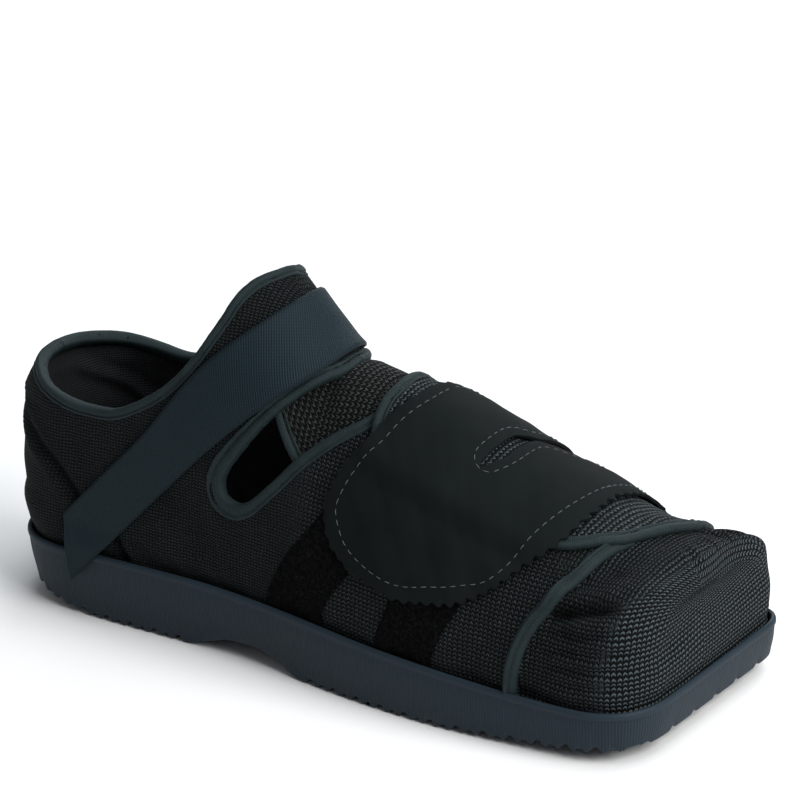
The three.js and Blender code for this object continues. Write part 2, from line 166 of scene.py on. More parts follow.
def grid_normals(P):
    E = np.concatenate([P[1:2, ::-1], P, P[-2:-1, ::-1]])
    di = E[2:] - E[:-2]
    F = np.concatenate([2 * P[:, :1] - P[:, 1:2], P, 2 * P[:, -1:] - P[:, -2:-1]], 1)
    dj = F[:, 2:] - F[:, :-2]
    n = np.cross(dj, di)
    n /= np.maximum(np.linalg.norm(n, axis=2, keepdims=True), 1e-12)
    n[0, :, 1] = 0
    n[-1, :, 1] = 0
    n /= np.maximum(np.linalg.norm(n, axis=2, keepdims=True), 1e-12)
    return n


N0 = grid_normals(P0)
N0[N_BODY:, NJ] = N0[N_BODY - 1, NJ]
if N0[100, 40, 1] > 0:
    N0 = -N0


def bil(A, si, sj):
    si, sj = np.clip(si, 0, NI - 1.0001), np.clip(sj, 0, 2 * NJ - 0.0001)
    i, j = si.astype(int), sj.astype(int)
    a, b = (si - i)[..., None], (sj - j)[..., None]
    return A[i, j] * (1 - a) * (1 - b) + A[i + 1, j] * a * (1 - b) + A[i, j + 1] * (1 - a) * b + A[i + 1, j + 1] * a * b


def unit(v):
    return v / np.maximum(np.linalg.norm(v, axis=-1, keepdims=True), 1e-12)


def project(points, off):
    """Grid coordinates (si, sj) of points that lie off the form by off."""
    pts = np.atleast_2d(np.asarray(points, float))
    Q = (P0 + N0 * off).reshape(-1, 3)
    out = np.zeros((len(pts), 2))
    for k, p in enumerate(pts):
        m = int(np.argmin(((Q - p) ** 2).sum(1)))
        s = np.array([m // (2 * NJ + 1), m % (2 * NJ + 1)], float)
        for _ in range(5):
            a = [np.array([v]) for v in (s[0], s[1], s[0] + 0.4, s[1] + 0.4)]
            q = (bil(P0, a[0], a[1]) + bil(N0, a[0], a[1]) * off)[0]
            qi = (bil(P0, a[2], a[1]) + bil(N0, a[2], a[1]) * off)[0]
            qj = (bil(P0, a[0], a[3]) + bil(N0, a[0], a[3]) * off)[0]
            J = np.stack([(qi - q) / 0.4, (qj - q) / 0.4], 1)
            d, *_ = np.linalg.lstsq(J, p - q, rcond=None)
            s = np.clip(s + np.clip(d, -2, 2), 0, [NI - 1.01, 2 * NJ - 0.01])
        out[k] = s
    return out


IDX = np.arange(N_BODY, dtype=float)


def to_xq(s):
    """(si, sj) to the flat sheet: x along the foot, q = girth from the crest, lateral negative."""
    x = np.interp(s[:, 0], IDX, XS)
    side = np.where(s[:, 1] < NJ, np.interp(s[:, 0], np.arange(NI), GIRTH[:, 0]), np.interp(s[:, 0], np.arange(NI), GIRTH[:, 1]))
    return np.stack([x, (s[:, 1] - NJ) / NJ * side], 1)


def from_xq(a):
    a = np.atleast_2d(a)
    si = np.interp(a[:, 0], XS, IDX)
    g = np.where(a[:, 1] < 0, np.interp(si, np.arange(NI), GIRTH[:, 0]), np.interp(si, np.arange(NI), GIRTH[:, 1]))
    return np.stack([si, np.clip(NJ + NJ * a[:, 1] / g, 0, 2 * NJ)], 1)


def plan_to_xq(points):
    """Plan points (x, y) or medial wall points (x, y, z) on the form."""
    out = []
    for p in points:
        si = float(np.interp(p[0], XS, IDX))
        i = int(round(si))
        sl = slice(0, NJ + 1) if p[1] < 0 else slice(NJ, 2 * NJ + 1)
        ys, zs = np.abs(P0[i, sl, 1]), P0[i, sl, 2]
        js = np.arange(2 * NJ + 1)[sl]
        if len(p) == 3:
            o = np.argsort(zs)
            sj = np.interp(p[2], zs[o], js[o])
        else:
            o = np.argsort(ys, kind="stable")
            sj = np.interp(abs(p[1]), ys[o], js[o])
        out.append((si, sj))
    return to_xq(np.array(out))


# ------------------------------------------------------------------ creases, bulges and folds of the upper
def line_distance(P, line, q=None):
    """Distance from each point to a 3-D polyline, and the share of the way along it."""
    best = np.full(P.shape[:-1], 1e9)
    along = np.zeros(P.shape[:-1])
    line = np.asarray(line, float)
    seg = np.linalg.norm(np.diff(line, axis=0), axis=1)
    cum = np.concatenate([[0], np.cumsum(seg)])
    for k in range(len(line) - 1):
        a, d = line[k], line[k + 1] - line[k]
        t = np.clip(((P - a) @ d) / (d @ d), 0, 1)
        r = np.linalg.norm(P - (a + t[..., None] * d), axis=-1)
        near = r < best
        best = np.where(near, r, best)
        along = np.where(near, (cum[k] + t * seg[k]) / cum[-1], along)
    return best, along


def furrow(P, line, depth, width, lip=0.0, taper=0.15):
    s = project(line, 0)  # the line is laid on the form first
    s = np.stack([np.interp(np.linspace(0, len(s) - 1, 6 * len(s)), np.arange(len(s)), s[:, c]) for c in (0, 1)], 1)
    r, t = line_distance(P, bil(P0, s[:, 0], s[:, 1]))
    fade = step(0, taper, t) * step(0, taper, 1 - t) if taper else 1
    return (-depth * np.exp(-(r / width) ** 2) + lip * np.exp(-((r - 2.1 * width) / width) ** 2)) * fade


def ridge(line, width, taper=0.1):
    """1 along a line laid on the form, fading to 0 over that width."""
    return np.clip(-furrow(P0, line, 1.0, width, 0.0, taper), 0, 1)


X, Y, Z = P0[..., 0], P0[..., 1], P0[..., 2]
lat = Y < 0
D = np.zeros(X.shape)
# painted shade: this array says how much the cloth colour is darkened in the heel-counter creases, under the toe ledge
# and in the toe folds
CREASE_SHADE = np.zeros(X.shape)
heel_bulge = pchip([20, 24, 30, 36, 40, 43, 46, 60, 75, 79, 81.5, 84, 88, 91, 94, 97, 104],
                   [0, .3, 1.8, 3.0, 3.4, 3.1, 2.5, 2.5, 2.6, 2.0, 1.2, 1.4, 0.7, -0.7, -2.6, -4.4, -5])
D += heel_bulge(Z) * (1 - step(12, 45, X))
for sgn in (-1, 1):  # heel counter: its upper front edge shows as a soft crease
    m = np.where(Y * sgn >= -1, 1.0, 0.0)
    line = [(4, sgn * 12, 82), (9, sgn * 19, 77), (20, sgn * 29, 70), (30, sgn * 33, 62), (40, sgn * 36, 51), (46, sgn * 37, 42)]
    D += m * furrow(P0, line, 1.9, 2.4, 0.9, 0.1)
    CREASE_SHADE = np.maximum(CREASE_SHADE, m * ridge(line, 1.7, 0.08))
    CREASE_SHADE = np.maximum(CREASE_SHADE, m * ridge([(58, sgn * 38, 40), (60, sgn * 38, 34), (63, sgn * 38, 27)], 2.2, 0.05))
    D += m * furrow(P0, [(58, sgn * 38, 40), (61, sgn * 38, 34), (65, sgn * 38, 26)], 2.0, 1.5, 0.4, 0.05)
    D += m * furrow(P0, [(66, sgn * 39, 35), (76, sgn * 39, 30), (92, sgn * 40, 29)], 0.7, 2.6, 0.4)
    D += m * furrow(P0, [(80, sgn * 39, 62), (95, sgn * 39, 50), (104, sgn * 40, 36)], 0.7, 5.0, 0.4)
D += 0.7 * np.exp(-((X - 121) / 6) ** 2) * step(132, 141, Z)  # the ankle flap stands up a little at its top
# the toe box: one deep crease across its outer shoulder, folds under it, soft lumps on the top
LEDGE = [(254, -48, 52), (261, -47, 54.5), (268, -46, 56), (276, -44, 57.5), (283, -42, 58.5), (290, -38, 57.5)]
D += furrow(P0, LEDGE, 3.4, 2.9, 1.5, 0.3)
D += furrow(P0, [(258, -47, 51), (264, -48, 52), (270, -47, 53.5)], 1.6, 4.0, 0.3, 0.3)
D += furrow(P0, [(262, -44, 61), (267, -38, 66), (271, -31, 69)], 1.3, 3.0, 0.6, 0.25)
D += furrow(P0, [(268, -41, 62), (275, -34, 66), (281, -24, 68)], 0.8, 3.4, 0.4, 0.3)
CREASE_SHADE = np.maximum(CREASE_SHADE, 0.8 * ridge(LEDGE, 1.9, 0.25))
for zc, dep in ((49, 0.9), (42, 0.8), (35.5, 0.7), (29.5, 0.5)):
    D += furrow(P0, [(256, -52, zc - 2), (270, -52, zc), (284, -48, zc + 0.6), (294, -38, zc + 1)], dep, 1.7, 0.55, 0.25)
D += furrow(P0, [(266, -30, 71), (275, -26, 69), (284, -24, 67)], 1.0, 3.5, 0.5, 0.3)
for line, dep, wid in (([(279, 26, 68), (286, 31, 67), (293, 33, 64), (298, 34, 58)], 1.0, 1.7),
                       ([(278, 34, 67), (285, 38, 65.5), (292, 41, 63), (297, 43, 56)], 1.1, 1.6),
                       ([(276, 41, 66), (284, 46, 64), (290, 49, 61), (296, 50, 52)], 1.0, 1.6),
                       ([(274, 48, 62), (282, 52, 60), (289, 55, 55)], 0.8, 1.6),
                       ([(286, 18, 69), (293, 20, 66), (298, 20, 60)], 0.6, 1.8),
                       ([(288, 4, 69), (294, 4, 66), (299, 3, 60)], 0.4, 2.0)):
    D += furrow(P0, line, dep, wid, 0.55, 0.3)
    CREASE_SHADE = np.maximum(CREASE_SHADE, 0.12 * ridge(line, 1.0, 0.3))
D += furrow(P0, [(289, -30, 64), (294, -18, 65), (296, -4, 65), (296, 14, 64)], 0.9, 3.0, 0.7, 0.3)
D += furrow(P0, [(296, -34, 44), (300, -22, 42), (301, -6, 43)], 0.6, 4.0, 0.4, 0.35)
D -= 4.0 * step(268, 284, X) * step(6, 36, Y) * step(50, 60, Z)
D += 0.9 * np.exp(-((X - 286) / 9) ** 2 - ((Y + 10) / 22) ** 2) * step(60, 64, Z)
# fabric of the toe box comes out from under the outer flap
FLAP_EDGE = [(276, -8, 72), (273, -18, 71), (270, -31, 68), (266, -39, 63), (263, -42, 59), (260, -45, 54),
             (256, -49, 47), (253, -51, 39), (251, -53, 30), (250, -53, 20)]
r_edge, t_edge = line_distance(P0, FLAP_EDGE)
edge_x = np.interp(Z, [20, 30, 39, 47, 54, 59, 63, 68, 71, 72], [250, 251, 253, 256, 260, 263, 266, 270, 273, 276])
front = step(-0.6, 1.2, X - edge_x) * (lat & (Y < -6))
D -= 2.1 * front * (1 - step(2, 22, r_edge)) * (1 - step(-20, -8, Y) * (Z > 60))
D += 0.5 * (1 - front) * np.exp(-(r_edge / 7) ** 2) * lat
# padding gives a little between its seams; the foot of the upper tucks in behind the rim
D -= 0.9 * (1 - step(0.5, 4.5, Z - rim_z(X)))
phase = [(0.071, 0.053, 0.4), (0.113, -0.087, 1.7), (-0.061, 0.149, 3.1), (0.19, 0.11, 5.2), (0.05, 0.21, 2.2)]
for a, b, c in phase:
    D += 0.13 * np.sin(a * X * 2 + b * Z * 2 + c + 0.9 * np.sin(0.05 * Y + c))
D += 0.35 * np.sin(0.21 * X + 0.5 * np.sin(0.11 * Z)) * step(150, 190, X) * (1 - step(235, 250, X)) * (Z < 50) * step(-0.5, 0.5, -Y / 40)
D *= step(0, 6, Z - floor_z(X)) * 0.85 + 0.15
P1 = P0 + N0 * D[..., None]
N1 = grid_normals(P1)
N1[N_BODY:, NJ] = N1[N_BODY - 1, NJ]
if N1[100, 40, 1] > 0:
    N1 = -N1
INNER = P0 + N0 * (0.7 * D - WALL)[..., None]


def surf(s, off, normals=False):
    """Points off the finished upper, at grid coordinates s."""
    s = np.atleast_2d(s)
    n = unit(bil(N1, s[:, 0], s[:, 1]))
    p = bil(P1, s[:, 0], s[:, 1]) + n * np.asarray(off, float).reshape(-1, 1)
    return (p, n) if normals else p


def locate(side, xz):
    """Grid coordinates where the finished upper has the side-view place (x, z), on one side."""
    res = np.zeros((len(xz), 2))
    sl = slice(0, NJ + 1) if side < 0 else slice(NJ, 2 * NJ + 1)
    js = np.arange(2 * NJ + 1, dtype=float)[sl]
    for k, (x, z) in enumerate(xz):
        xt, zt = x, z
        for _ in range(6):
            si = float(np.interp(xt, XS, IDX))
            i = min(int(si), N_BODY - 2)
            zz = P0[i, sl, 2] * (1 - (si - i)) + P0[i + 1, sl, 2] * (si - i)
            sj = float(np.interp(zt, zz, js) if side < 0 else np.interp(zt, zz[::-1], js[::-1]))
            p = bil(P1, np.array([si]), np.array([sj]))[0]
            xt, zt = xt + (x - p[0]), zt + (z - p[2])
        res[k] = si, sj
    return res


# ------------------------------------------------------------------ curves in the plane
def smooth(points, pitch=1.0, closed=False, corners=()):
    """Catmull-Rom curve through the points, in even steps."""
    p = np.asarray(points, float)
    n = len(p)
    out = []
    for k in range(n if closed else n - 1):
        a, b = p[k], p[(k + 1) % n]
        c = p[(k - 1) % n] if (closed or k > 0) else 2 * a - b
        d = p[(k + 2) % n] if (closed or k + 2 < n) else 2 * b - a
        la = max(np.linalg.norm(b - a), 1e-6)
        ta = np.zeros_like(a) if False else (b - c) / max(np.linalg.norm(b - a) + np.linalg.norm(a - c), 1e-6) * la
        tb = (d - a) / max(np.linalg.norm(d - b) + np.linalg.norm(b - a), 1e-6) * la
        if k in corners:
            ta = b - a
        if (k + 1) % n in corners:
            tb = b - a
        t = np.linspace(0, 1, 17)[:-1, None]
        out.append((2 * t**3 - 3 * t**2 + 1) * a + (t**3 - 2 * t**2 + t) * ta + (-2 * t**3 + 3 * t**2) * b + (t**3 - t**2) * tb)
    q = np.concatenate(out + ([] if closed else [p[-1:]]))
    return even(q, pitch, closed)


def even(q, pitch, closed=False):
    if closed:
        q = np.concatenate([q, q[:1]])
    L = np.concatenate([[0], np.cumsum(np.linalg.norm(np.diff(q, axis=0), axis=1))])
    keep = np.concatenate([[True], np.diff(L) > 1e-9])
    q, L = q[keep], L[keep]
    m = max(3, int(round(L[-1] / pitch)))
    t = np.linspace(0, L[-1], m + 1)
    r = np.stack([np.interp(t, L, q[:, c]) for c in range(q.shape[1])], 1)
    return r[:-1] if closed else r


def inside(poly, pts):
    """Even-odd test of many points against a polygon."""
    pts = np.asarray(pts, float)
    x, y = pts[:, 0], pts[:, 1]
    res = np.zeros(len(pts), bool)
    a = np.asarray(poly, float)
    b = np.roll(a, -1, 0)
    for (x1, y1), (x2, y2) in zip(a, b):
        if y1 == y2:
            continue
        hit = ((y1 > y) != (y2 > y)) & (x < (x2 - x1) * (y - y1) / (y2 - y1) + x1)
        res ^= hit
    return res


def poly_distance(poly, pts, closed=True):
    a = np.asarray(poly, float)
    b = np.roll(a, -1, 0) if closed else a[1:]
    a = a if closed else a[:-1]
    best = np.full(len(pts), 1e9)
    for p, q in zip(a, b):
        d = q - p
        t = np.clip(((pts - p) @ d) / max(d @ d, 1e-12), 0, 1)
        best = np.minimum(best, np.hypot(*(pts - (p + t[:, None] * d)).T))
    return best


# ------------------------------------------------------------------ mesh making
MATS = {}
made = []


def make(name, verts, polys, uv=None, mats=("cloth",), midx=None, angle=50, attr=None):
    """A mesh object from millimetres; polys is a list of (n, k) index arrays, uv a dict of per-vertex or per-corner arrays."""
    v = row(verts)
    me = bpy.data.meshes.new(name)
    me.vertices.add(len(v))
    me.vertices.foreach_set("co", v.astype(np.float32).ravel())
    polys = [np.asarray(p, np.int32) for p in polys if len(p)]
    flat = np.concatenate([p.ravel() for p in polys])
    sizes = np.concatenate([np.full(len(p), p.shape[1], np.int32) for p in polys])
    starts = np.concatenate([[0], np.cumsum(sizes)[:-1]]).astype(np.int32)
    me.loops.add(len(flat))
    me.loops.foreach_set("vertex_index", flat)
    me.polygons.add(len(sizes))
    me.polygons.foreach_set("loop_start", starts)
    me.polygons.foreach_set("loop_total", sizes)
    if midx is not None:
        me.polygons.foreach_set("material_index", np.asarray(midx, np.int32))
    me.update(calc_edges=True)
    for key, val in (uv or {}).items():
        layer = me.uv_layers.new(name=key)
        val = np.asarray(val, np.float32)
        if len(val) != len(flat):
            val = val[flat]
        layer.data.foreach_set("uv", val.ravel())
    for key, val in (attr or {}).items():
        at = me.attributes.new(key, "FLOAT", "POINT")
        at.data.foreach_set("value", np.asarray(val, np.float32))
    me.polygons.foreach_set("use_smooth", np.ones(len(sizes), bool))
    me.validate()
    me.set_sharp_from_angle(angle=math.radians(angle))
    ob = bpy.data.objects.new(name, me)
    bpy.context.scene.collection.objects.link(ob)
    for m in mats:
        me.materials.append(MATS[m])
    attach(ob, "root")
    made.append(ob)
    return ob


def sweep(profile, P, T, N, B, closed):
    """Profile rings (m, n, 2) or (n, 2), in (B, N), along the path; returns vertices and quads."""
    m = len(P)
    prof = profile if profile.ndim == 3 else np.broadcast_to(profile, (m,) + profile.shape)
    V = P[:, None] + prof[..., :1] * B[:, None] + prof[..., 1:] * N[:, None]
    n = prof.shape[1]
    k = np.arange(m if closed else m - 1)
    a = (k[:, None] * n + np.arange(n)).ravel()
    b = (k[:, None] * n + (np.arange(n) + 1) % n).ravel()
    k2 = (k + 1) % m
    c = (k2[:, None] * n + (np.arange(n) + 1) % n).ravel()
    d = (k2[:, None] * n + np.arange(n)).ravel()
    quads = np.stack([a, b, c, d], 1)
    return V.reshape(-1, 3), quads, n


def frames(P, N, closed, flip=None):
    T = (np.roll(P, -1, 0) - np.roll(P, 1, 0)) if closed else np.gradient(P, axis=0)
    T = unit(T)
    N = unit(N - (N * T).sum(1, keepdims=True) * T)
    B = np.cross(N, T)
    return T, N, B


def blur(A, k, closed, times=2):
    for _ in range(times):
        if closed:
            A = sum(np.roll(A, s, 0) for s in range(-k, k + 1)) / (2 * k + 1)
        else:
            pad = np.concatenate([2 * A[:1] - A[1:k + 1][::-1], A, 2 * A[-1:] - A[-k - 1:-1][::-1]])
            A = sum(pad[k + s:k + s + len(A)] for s in range(-k, k + 1)) / (2 * k + 1)
    return A


def tape_profile(w, lo, hi, edge=1.0):
    """Bound edge in (b, n): b runs into the cloth, n out of it. A stitched groove parts its two ridges."""
    pts = [(w, hi - 0.05), (w - 0.1, hi + 0.36), (w - 0.5, hi + 0.55), (w - 0.95, hi + 0.5), (w * 0.68, hi + 0.08),
           (w * 0.58, hi + 0.12), (w * 0.47, hi + 0.66), (w * 0.25, hi + 0.9), (0.1, hi + 0.75), (-0.6 * edge, hi + 0.2),
           (-edge, (hi + lo) / 2), (-0.6 * edge, lo - 0.2), (0.1, lo - 0.7), (w * 0.3, lo - 0.8), (w - 0.4, lo - 0.55), (w, lo - 0.02),
           (w - 0.5, lo + 0.2), (w - 0.5, hi - 0.2)]
    p = np.array(pts, float)
    q = np.roll(p, -1, 0)
    return np.stack([p * 0.75 + q * 0.25, p * 0.25 + q * 0.75], 1).reshape(-1, 2)


def tape(name, P, N, closed, w, lo, hi, into, edge=1.0, mat="binding"):
    """A binding along an edge. into(points) is true where a point lies in the cloth."""
    P, N = blur(P, 1, closed, 1), blur(N, 2, closed, 2)
    T, N, B = frames(P, N, closed)
    w = np.broadcast_to(np.asarray(w, float), (len(P),))
    if np.mean(into(P + 3 * B)) < np.mean(into(P - 3 * B)):
        B = -B
    prof = np.stack([tape_profile(a, lo, hi, edge) for a in w])
    L = np.concatenate([[0], np.cumsum(np.linalg.norm(np.diff(P, axis=0), axis=1))])
    prof = prof + 0.05 * np.sin(L * 0.9)[:, None, None] + 0.04 * np.sin(L * 2.3 + 1)[:, None, None]
    V, quads, n = sweep(prof, P, T, N, B, closed)
    ring = np.concatenate([[0], np.cumsum(np.linalg.norm(np.diff(prof[0], axis=0), axis=1))])
    uv = np.stack([np.repeat(L, n), np.tile(ring, len(P))], 1)
    polys = [quads if np.dot(np.cross(V[quads[0, 1]] - V[quads[0, 0]], V[quads[0, 3]] - V[quads[0, 0]]), N[0]) > 0 else quads[:, ::-1]]
    if not closed:
        c0, c1 = V[:n].mean(0), V[-n:].mean(0)
        V = np.concatenate([V, [c0, c1]])
        uv = np.concatenate([uv, [[0, 0], [0, 0]]])
        k, base = len(V) - 2, len(V) - 2 - n
        r = np.arange(n)
        polys += [np.stack([np.full(n, k), (r + 1) % n, r], 1), np.stack([np.full(n, k + 1), base + r, base + (r + 1) % n], 1)]
    return make(name, V, polys, uv={"UVMap": uv}, mats=(mat,), angle=70)


STITCHES = []


def stitches(P, N, dash=2.6, gap=1.5, radius=0.185, closed=False, lift=0.04):
    """Thread dashes along a path: each dips into the cloth at both ends."""
    q = np.concatenate([P, P[:1]]) if closed else P
    qn = np.concatenate([N, N[:1]]) if closed else N
    L = np.concatenate([[0], np.cumsum(np.linalg.norm(np.diff(q, axis=0), axis=1))])
    at = 0.4
    while at + dash < L[-1]:
        t = np.linspace(at, at + dash, 6)
        p = np.stack([np.interp(t, L, q[:, c]) for c in range(3)], 1)
        n = unit(np.stack([np.interp(t, L, qn[:, c]) for c in range(3)], 1))
        s = np.linspace(0, 1, 6)
        rise = radius * np.array([-1.2, 0.35, 0.7, 0.7, 0.35, -1.2]) + lift
        rad = radius * np.array([0.5, 0.9, 1, 1, 0.9, 0.5])
        p = p + n * rise[:, None]
        tt, nn, bb = frames(p, n, False)
        a = np.arange(6) / 6 * 2 * np.pi
        prof = np.stack([np.cos(a), np.sin(a)], 1)[None] * rad[:, None, None]
        V, quads, m = sweep(prof, p, tt, nn, bb, False)
        caps = [np.array([[5, 4, 3, 2], [5, 2, 1, 0]]), np.array([[0, 1, 2, 3], [0, 3, 4, 5]]) + 5 * 6]
        STITCHES.append((V, np.concatenate([quads] + caps), np.stack([np.repeat(t, 6), np.tile(np.arange(6) * 0.2, 6)], 1)))
        at += dash + gap


def hexgrid(lo, hi, pitch):
    ys = np.arange(lo[1], hi[1] + pitch, pitch * 0.866)
    out = []
    for k, y in enumerate(ys):
        xs = np.arange(lo[0] + (k % 2) * pitch / 2, hi[0] + pitch, pitch)
        out.append(np.stack([xs, np.full(len(xs), y)], 1))
    return np.concatenate(out)


def triangulate(loop, pitch, holes=(), clear=0.62):
    """Triangles over a flat outline, with even points inside."""
    loops = [np.asarray(loop, float)] + [np.asarray(h, float) for h in holes]
    pts = np.concatenate(loops)
    edges, k = [], 0
    for l in loops:
        n = len(l)
        edges += [(k + i, k + (i + 1) % n) for i in range(n)]
        k += n
    g = hexgrid(pts.min(0), pts.max(0), pitch)
    ok = inside(loops[0], g)
    for h in loops[1:]:
        ok &= ~inside(h, g)
    g = g[ok]
    for l in loops:
        g = g[poly_distance(l, g) > pitch * clear]
    allp = np.concatenate([pts, g])
    v, _, f, *_ = geometry.delaunay_2d_cdt([Vector(p) for p in allp], edges, [], 0, 1e-6)
    v = np.array([(p[0], p[1]) for p in v])
    f = np.array([t for t in f if len(t) == 3], np.int32)
    c = v[f].mean(1)
    ok = inside(loops[0], c)
    for h in loops[1:]:
        ok &= ~inside(h, c)
    f = f[ok]
    a, b, c = v[f[:, 0]], v[f[:, 1]], v[f[:, 2]]
    area = (b - a)[:, 0] * (c - a)[:, 1] - (b - a)[:, 1] * (c - a)[:, 0]
    f = f[np.abs(area) > 1e-9]
    area = area[np.abs(area) > 1e-9]
    f[area < 0] = f[area < 0][:, ::-1]
    used = np.unique(f)
    new = np.full(len(v), -1)
    new[used] = np.arange(len(used))
    return v[used], new[f]


def boundary(f):
    e = np.concatenate([f[:, [0, 1]], f[:, [1, 2]], f[:, [2, 0]]])
    key = np.sort(e, 1)
    _, inv, cnt = np.unique(key, axis=0, return_inverse=True, return_counts=True)
    return e[cnt[inv.ravel()] == 1]


def two_sided(v2, f, top, bottom):
    """A closed sheet between two placings of the same flat triangles; returns vertices, triangle and wall arrays."""
    n = len(v2)
    e = boundary(f)
    walls = np.stack([e[:, 1], e[:, 0], e[:, 0] + n, e[:, 1] + n], 1)
    return np.concatenate([top, bottom]), [f, f[:, ::-1] + n, walls]


def panel(name, loop, pitch, lo, hi, holes=(), drop=0.4, mats=("cloth",), wob=0.0):
    """A piece of cloth on the upper, from its outline in (x, q). lo and hi are functions of (x, q) in mm off the upper."""
    v2, f = triangulate(loop, pitch, holes)
    s = from_xq(v2)
    h, l = hi(v2), lo(v2)
    rim = np.unique(boundary(f))
    h = h + wob * (np.sin(v2[:, 0] * 0.31 + 1) * np.sin(v2[:, 1] * 0.27) + 0.5 * np.sin(v2[:, 0] * 0.7 + v2[:, 1] * 0.5))
    h[rim] -= drop
    top, bottom = surf(s, h), surf(s, l)
    V, polys = two_sided(v2, f, top, bottom)
    a, b, c = V[polys[0][:, 0]], V[polys[0][:, 1]], V[polys[0][:, 2]]
    nrm = surf(s[:1] * 0 + s[f[len(f) // 2, 0]], 0, True)[1][0]
    m = len(f) // 2
    if np.dot(np.cross(b[m] - a[m], c[m] - a[m]), nrm) < 0:
        polys = [p[:, ::-1] for p in polys]
    uv = np.concatenate([v2, v2])
    return make(name, V, polys, uv={"UVMap": uv}, mats=mats, angle=48)


# ------------------------------------------------------------------ materials
class V1:
    """A shader value, with arithmetic."""

    def __init__(self, sh, k):
        self.sh, self.k = sh, k

    def __add__(self, o): return self.sh.math("ADD", self, o)
    def __radd__(self, o): return self.sh.math("ADD", o, self)
    def __sub__(self, o): return self.sh.math("SUBTRACT", self, o)
    def __rsub__(self, o): return self.sh.math("SUBTRACT", o, self)
    def __mul__(self, o): return self.sh.math("MULTIPLY", self, o)
    def __rmul__(self, o): return self.sh.math("MULTIPLY", o, self)
    def __truediv__(self, o): return self.sh.math("DIVIDE", self, o)
    def __pow__(self, o): return self.sh.math("POWER", self, o)


class Shade:
    def __init__(self, name):
        self.mat = bpy.data.materials.new(name)
        self.mat.use_nodes = True
        self.nt = self.mat.node_tree
        self.nt.nodes.clear()
        self.out = self.nt.nodes.new("ShaderNodeOutputMaterial")
        self.b = self.nt.nodes.new("ShaderNodeBsdfPrincipled")
        self.nt.links.new(self.b.outputs[0], self.out.inputs[0])
        MATS[name] = self.mat

    def put(self, sock, v):
        if isinstance(v, V1):
            self.nt.links.new(v.k, sock)
        elif isinstance(v, (tuple, list)):
            sock.default_value = (*v, 1.0) if len(v) == 3 and len(sock.default_value) == 4 else v
        else:
            sock.default_value = v

    def math(self, op, *a, clamp=False):
        n = self.nt.nodes.new("ShaderNodeMath")
        n.operation = op
        n.use_clamp = clamp
        for k, v in enumerate(a):
            self.put(n.inputs[k], v)
        return V1(self, n.outputs[0])

    def fract(self, v): return self.math("FRACT", v)
    def abs(self, v): return self.math("ABSOLUTE", v)
    def sin(self, v): return self.math("SINE", v)
    def mn(self, a, b): return self.math("MINIMUM", a, b)
    def mx(self, a, b): return self.math("MAXIMUM", a, b)

    def sm(self, lo, hi, v):
        n = self.nt.nodes.new("ShaderNodeMapRange")
        n.interpolation_type = "SMOOTHSTEP"
        self.put(n.inputs["Value"], v)
        flip = lo > hi
        n.inputs["From Min"].default_value, n.inputs["From Max"].default_value = (hi, lo) if flip else (lo, hi)
        n.inputs["To Min"].default_value, n.inputs["To Max"].default_value = (1, 0) if flip else (0, 1)
        return V1(self, n.outputs["Result"])

    def uv(self, name="UVMap"):
        n = self.nt.nodes.new("ShaderNodeUVMap")
        n.uv_map = name
        s = self.nt.nodes.new("ShaderNodeSeparateXYZ")
        self.nt.links.new(n.outputs[0], s.inputs[0])
        return V1(self, s.outputs[0]), V1(self, s.outputs[1])

    def attr(self, name):
        n = self.nt.nodes.new("ShaderNodeAttribute")
        n.attribute_name = name
        return V1(self, n.outputs["Fac"])

    def obj(self, scale=1000.0):
        n = self.nt.nodes.new("ShaderNodeTexCoord")
        m = self.nt.nodes.new("ShaderNodeVectorMath")
        m.operation = "SCALE"
        m.inputs["Scale"].default_value = scale
        self.nt.links.new(n.outputs["Object"], m.inputs[0])
        return V1(self, m.outputs[0])

    def xyz(self, v):
        s = self.nt.nodes.new("ShaderNodeSeparateXYZ")
        self.nt.links.new(v.k, s.inputs[0])
        return [V1(self, s.outputs[k]) for k in range(3)]

    def vec(self, x, y, z=0.0):
        n = self.nt.nodes.new("ShaderNodeCombineXYZ")
        for k, v in enumerate((x, y, z)):
            self.put(n.inputs[k], v)
        return V1(self, n.outputs[0])

    def noise(self, vec, scale, detail=3.0, rough=0.55):
        n = self.nt.nodes.new("ShaderNodeTexNoise")
        self.nt.links.new(vec.k, n.inputs["Vector"])
        n.inputs["Scale"].default_value = scale
        n.inputs["Detail"].default_value = detail
        n.inputs["Roughness"].default_value = rough
        return V1(self, n.outputs["Fac"])

    def mix(self, f, a, b):
        n = self.nt.nodes.new("ShaderNodeMix")
        n.data_type = "RGBA"
        self.put(n.inputs[0], f)
        self.put(n.inputs[6], a)
        self.put(n.inputs[7], b)
        return V1(self, n.outputs[2])

    def lerp(self, f, a, b):
        n = self.nt.nodes.new("ShaderNodeMix")
        self.put(n.inputs[0], f)
        self.put(n.inputs[2], a)
        self.put(n.inputs[3], b)
        return V1(self, n.outputs[0])

    def facing(self, blend=0.4):
        n = self.nt.nodes.new("ShaderNodeLayerWeight")
        n.inputs["Blend"].default_value = blend
        return V1(self, n.outputs["Facing"])

    def finish(self, color, height=None, rough=0.85, spec=0.3, bump=0.0002, sheen=0.0, sheen_rough=0.4, strength=1.0, coat=0.0):
        self.put(self.b.inputs["Base Color"], color)
        self.put(self.b.inputs["Roughness"], rough)
        self.b.inputs["Specular IOR Level"].default_value = spec
        self.b.inputs["Sheen Weight"].default_value = sheen
        self.b.inputs["Sheen Roughness"].default_value = sheen_rough
        self.b.inputs["Coat Weight"].default_value = coat
        if height is not None:
            n = self.nt.nodes.new("ShaderNodeBump")
            n.inputs["Distance"].default_value = bump
            n.inputs["Strength"].default_value = strength
            self.nt.links.new(height.k, n.inputs["Height"])
            self.nt.links.new(n.outputs[0], self.b.inputs["Normal"])
        return self.mat


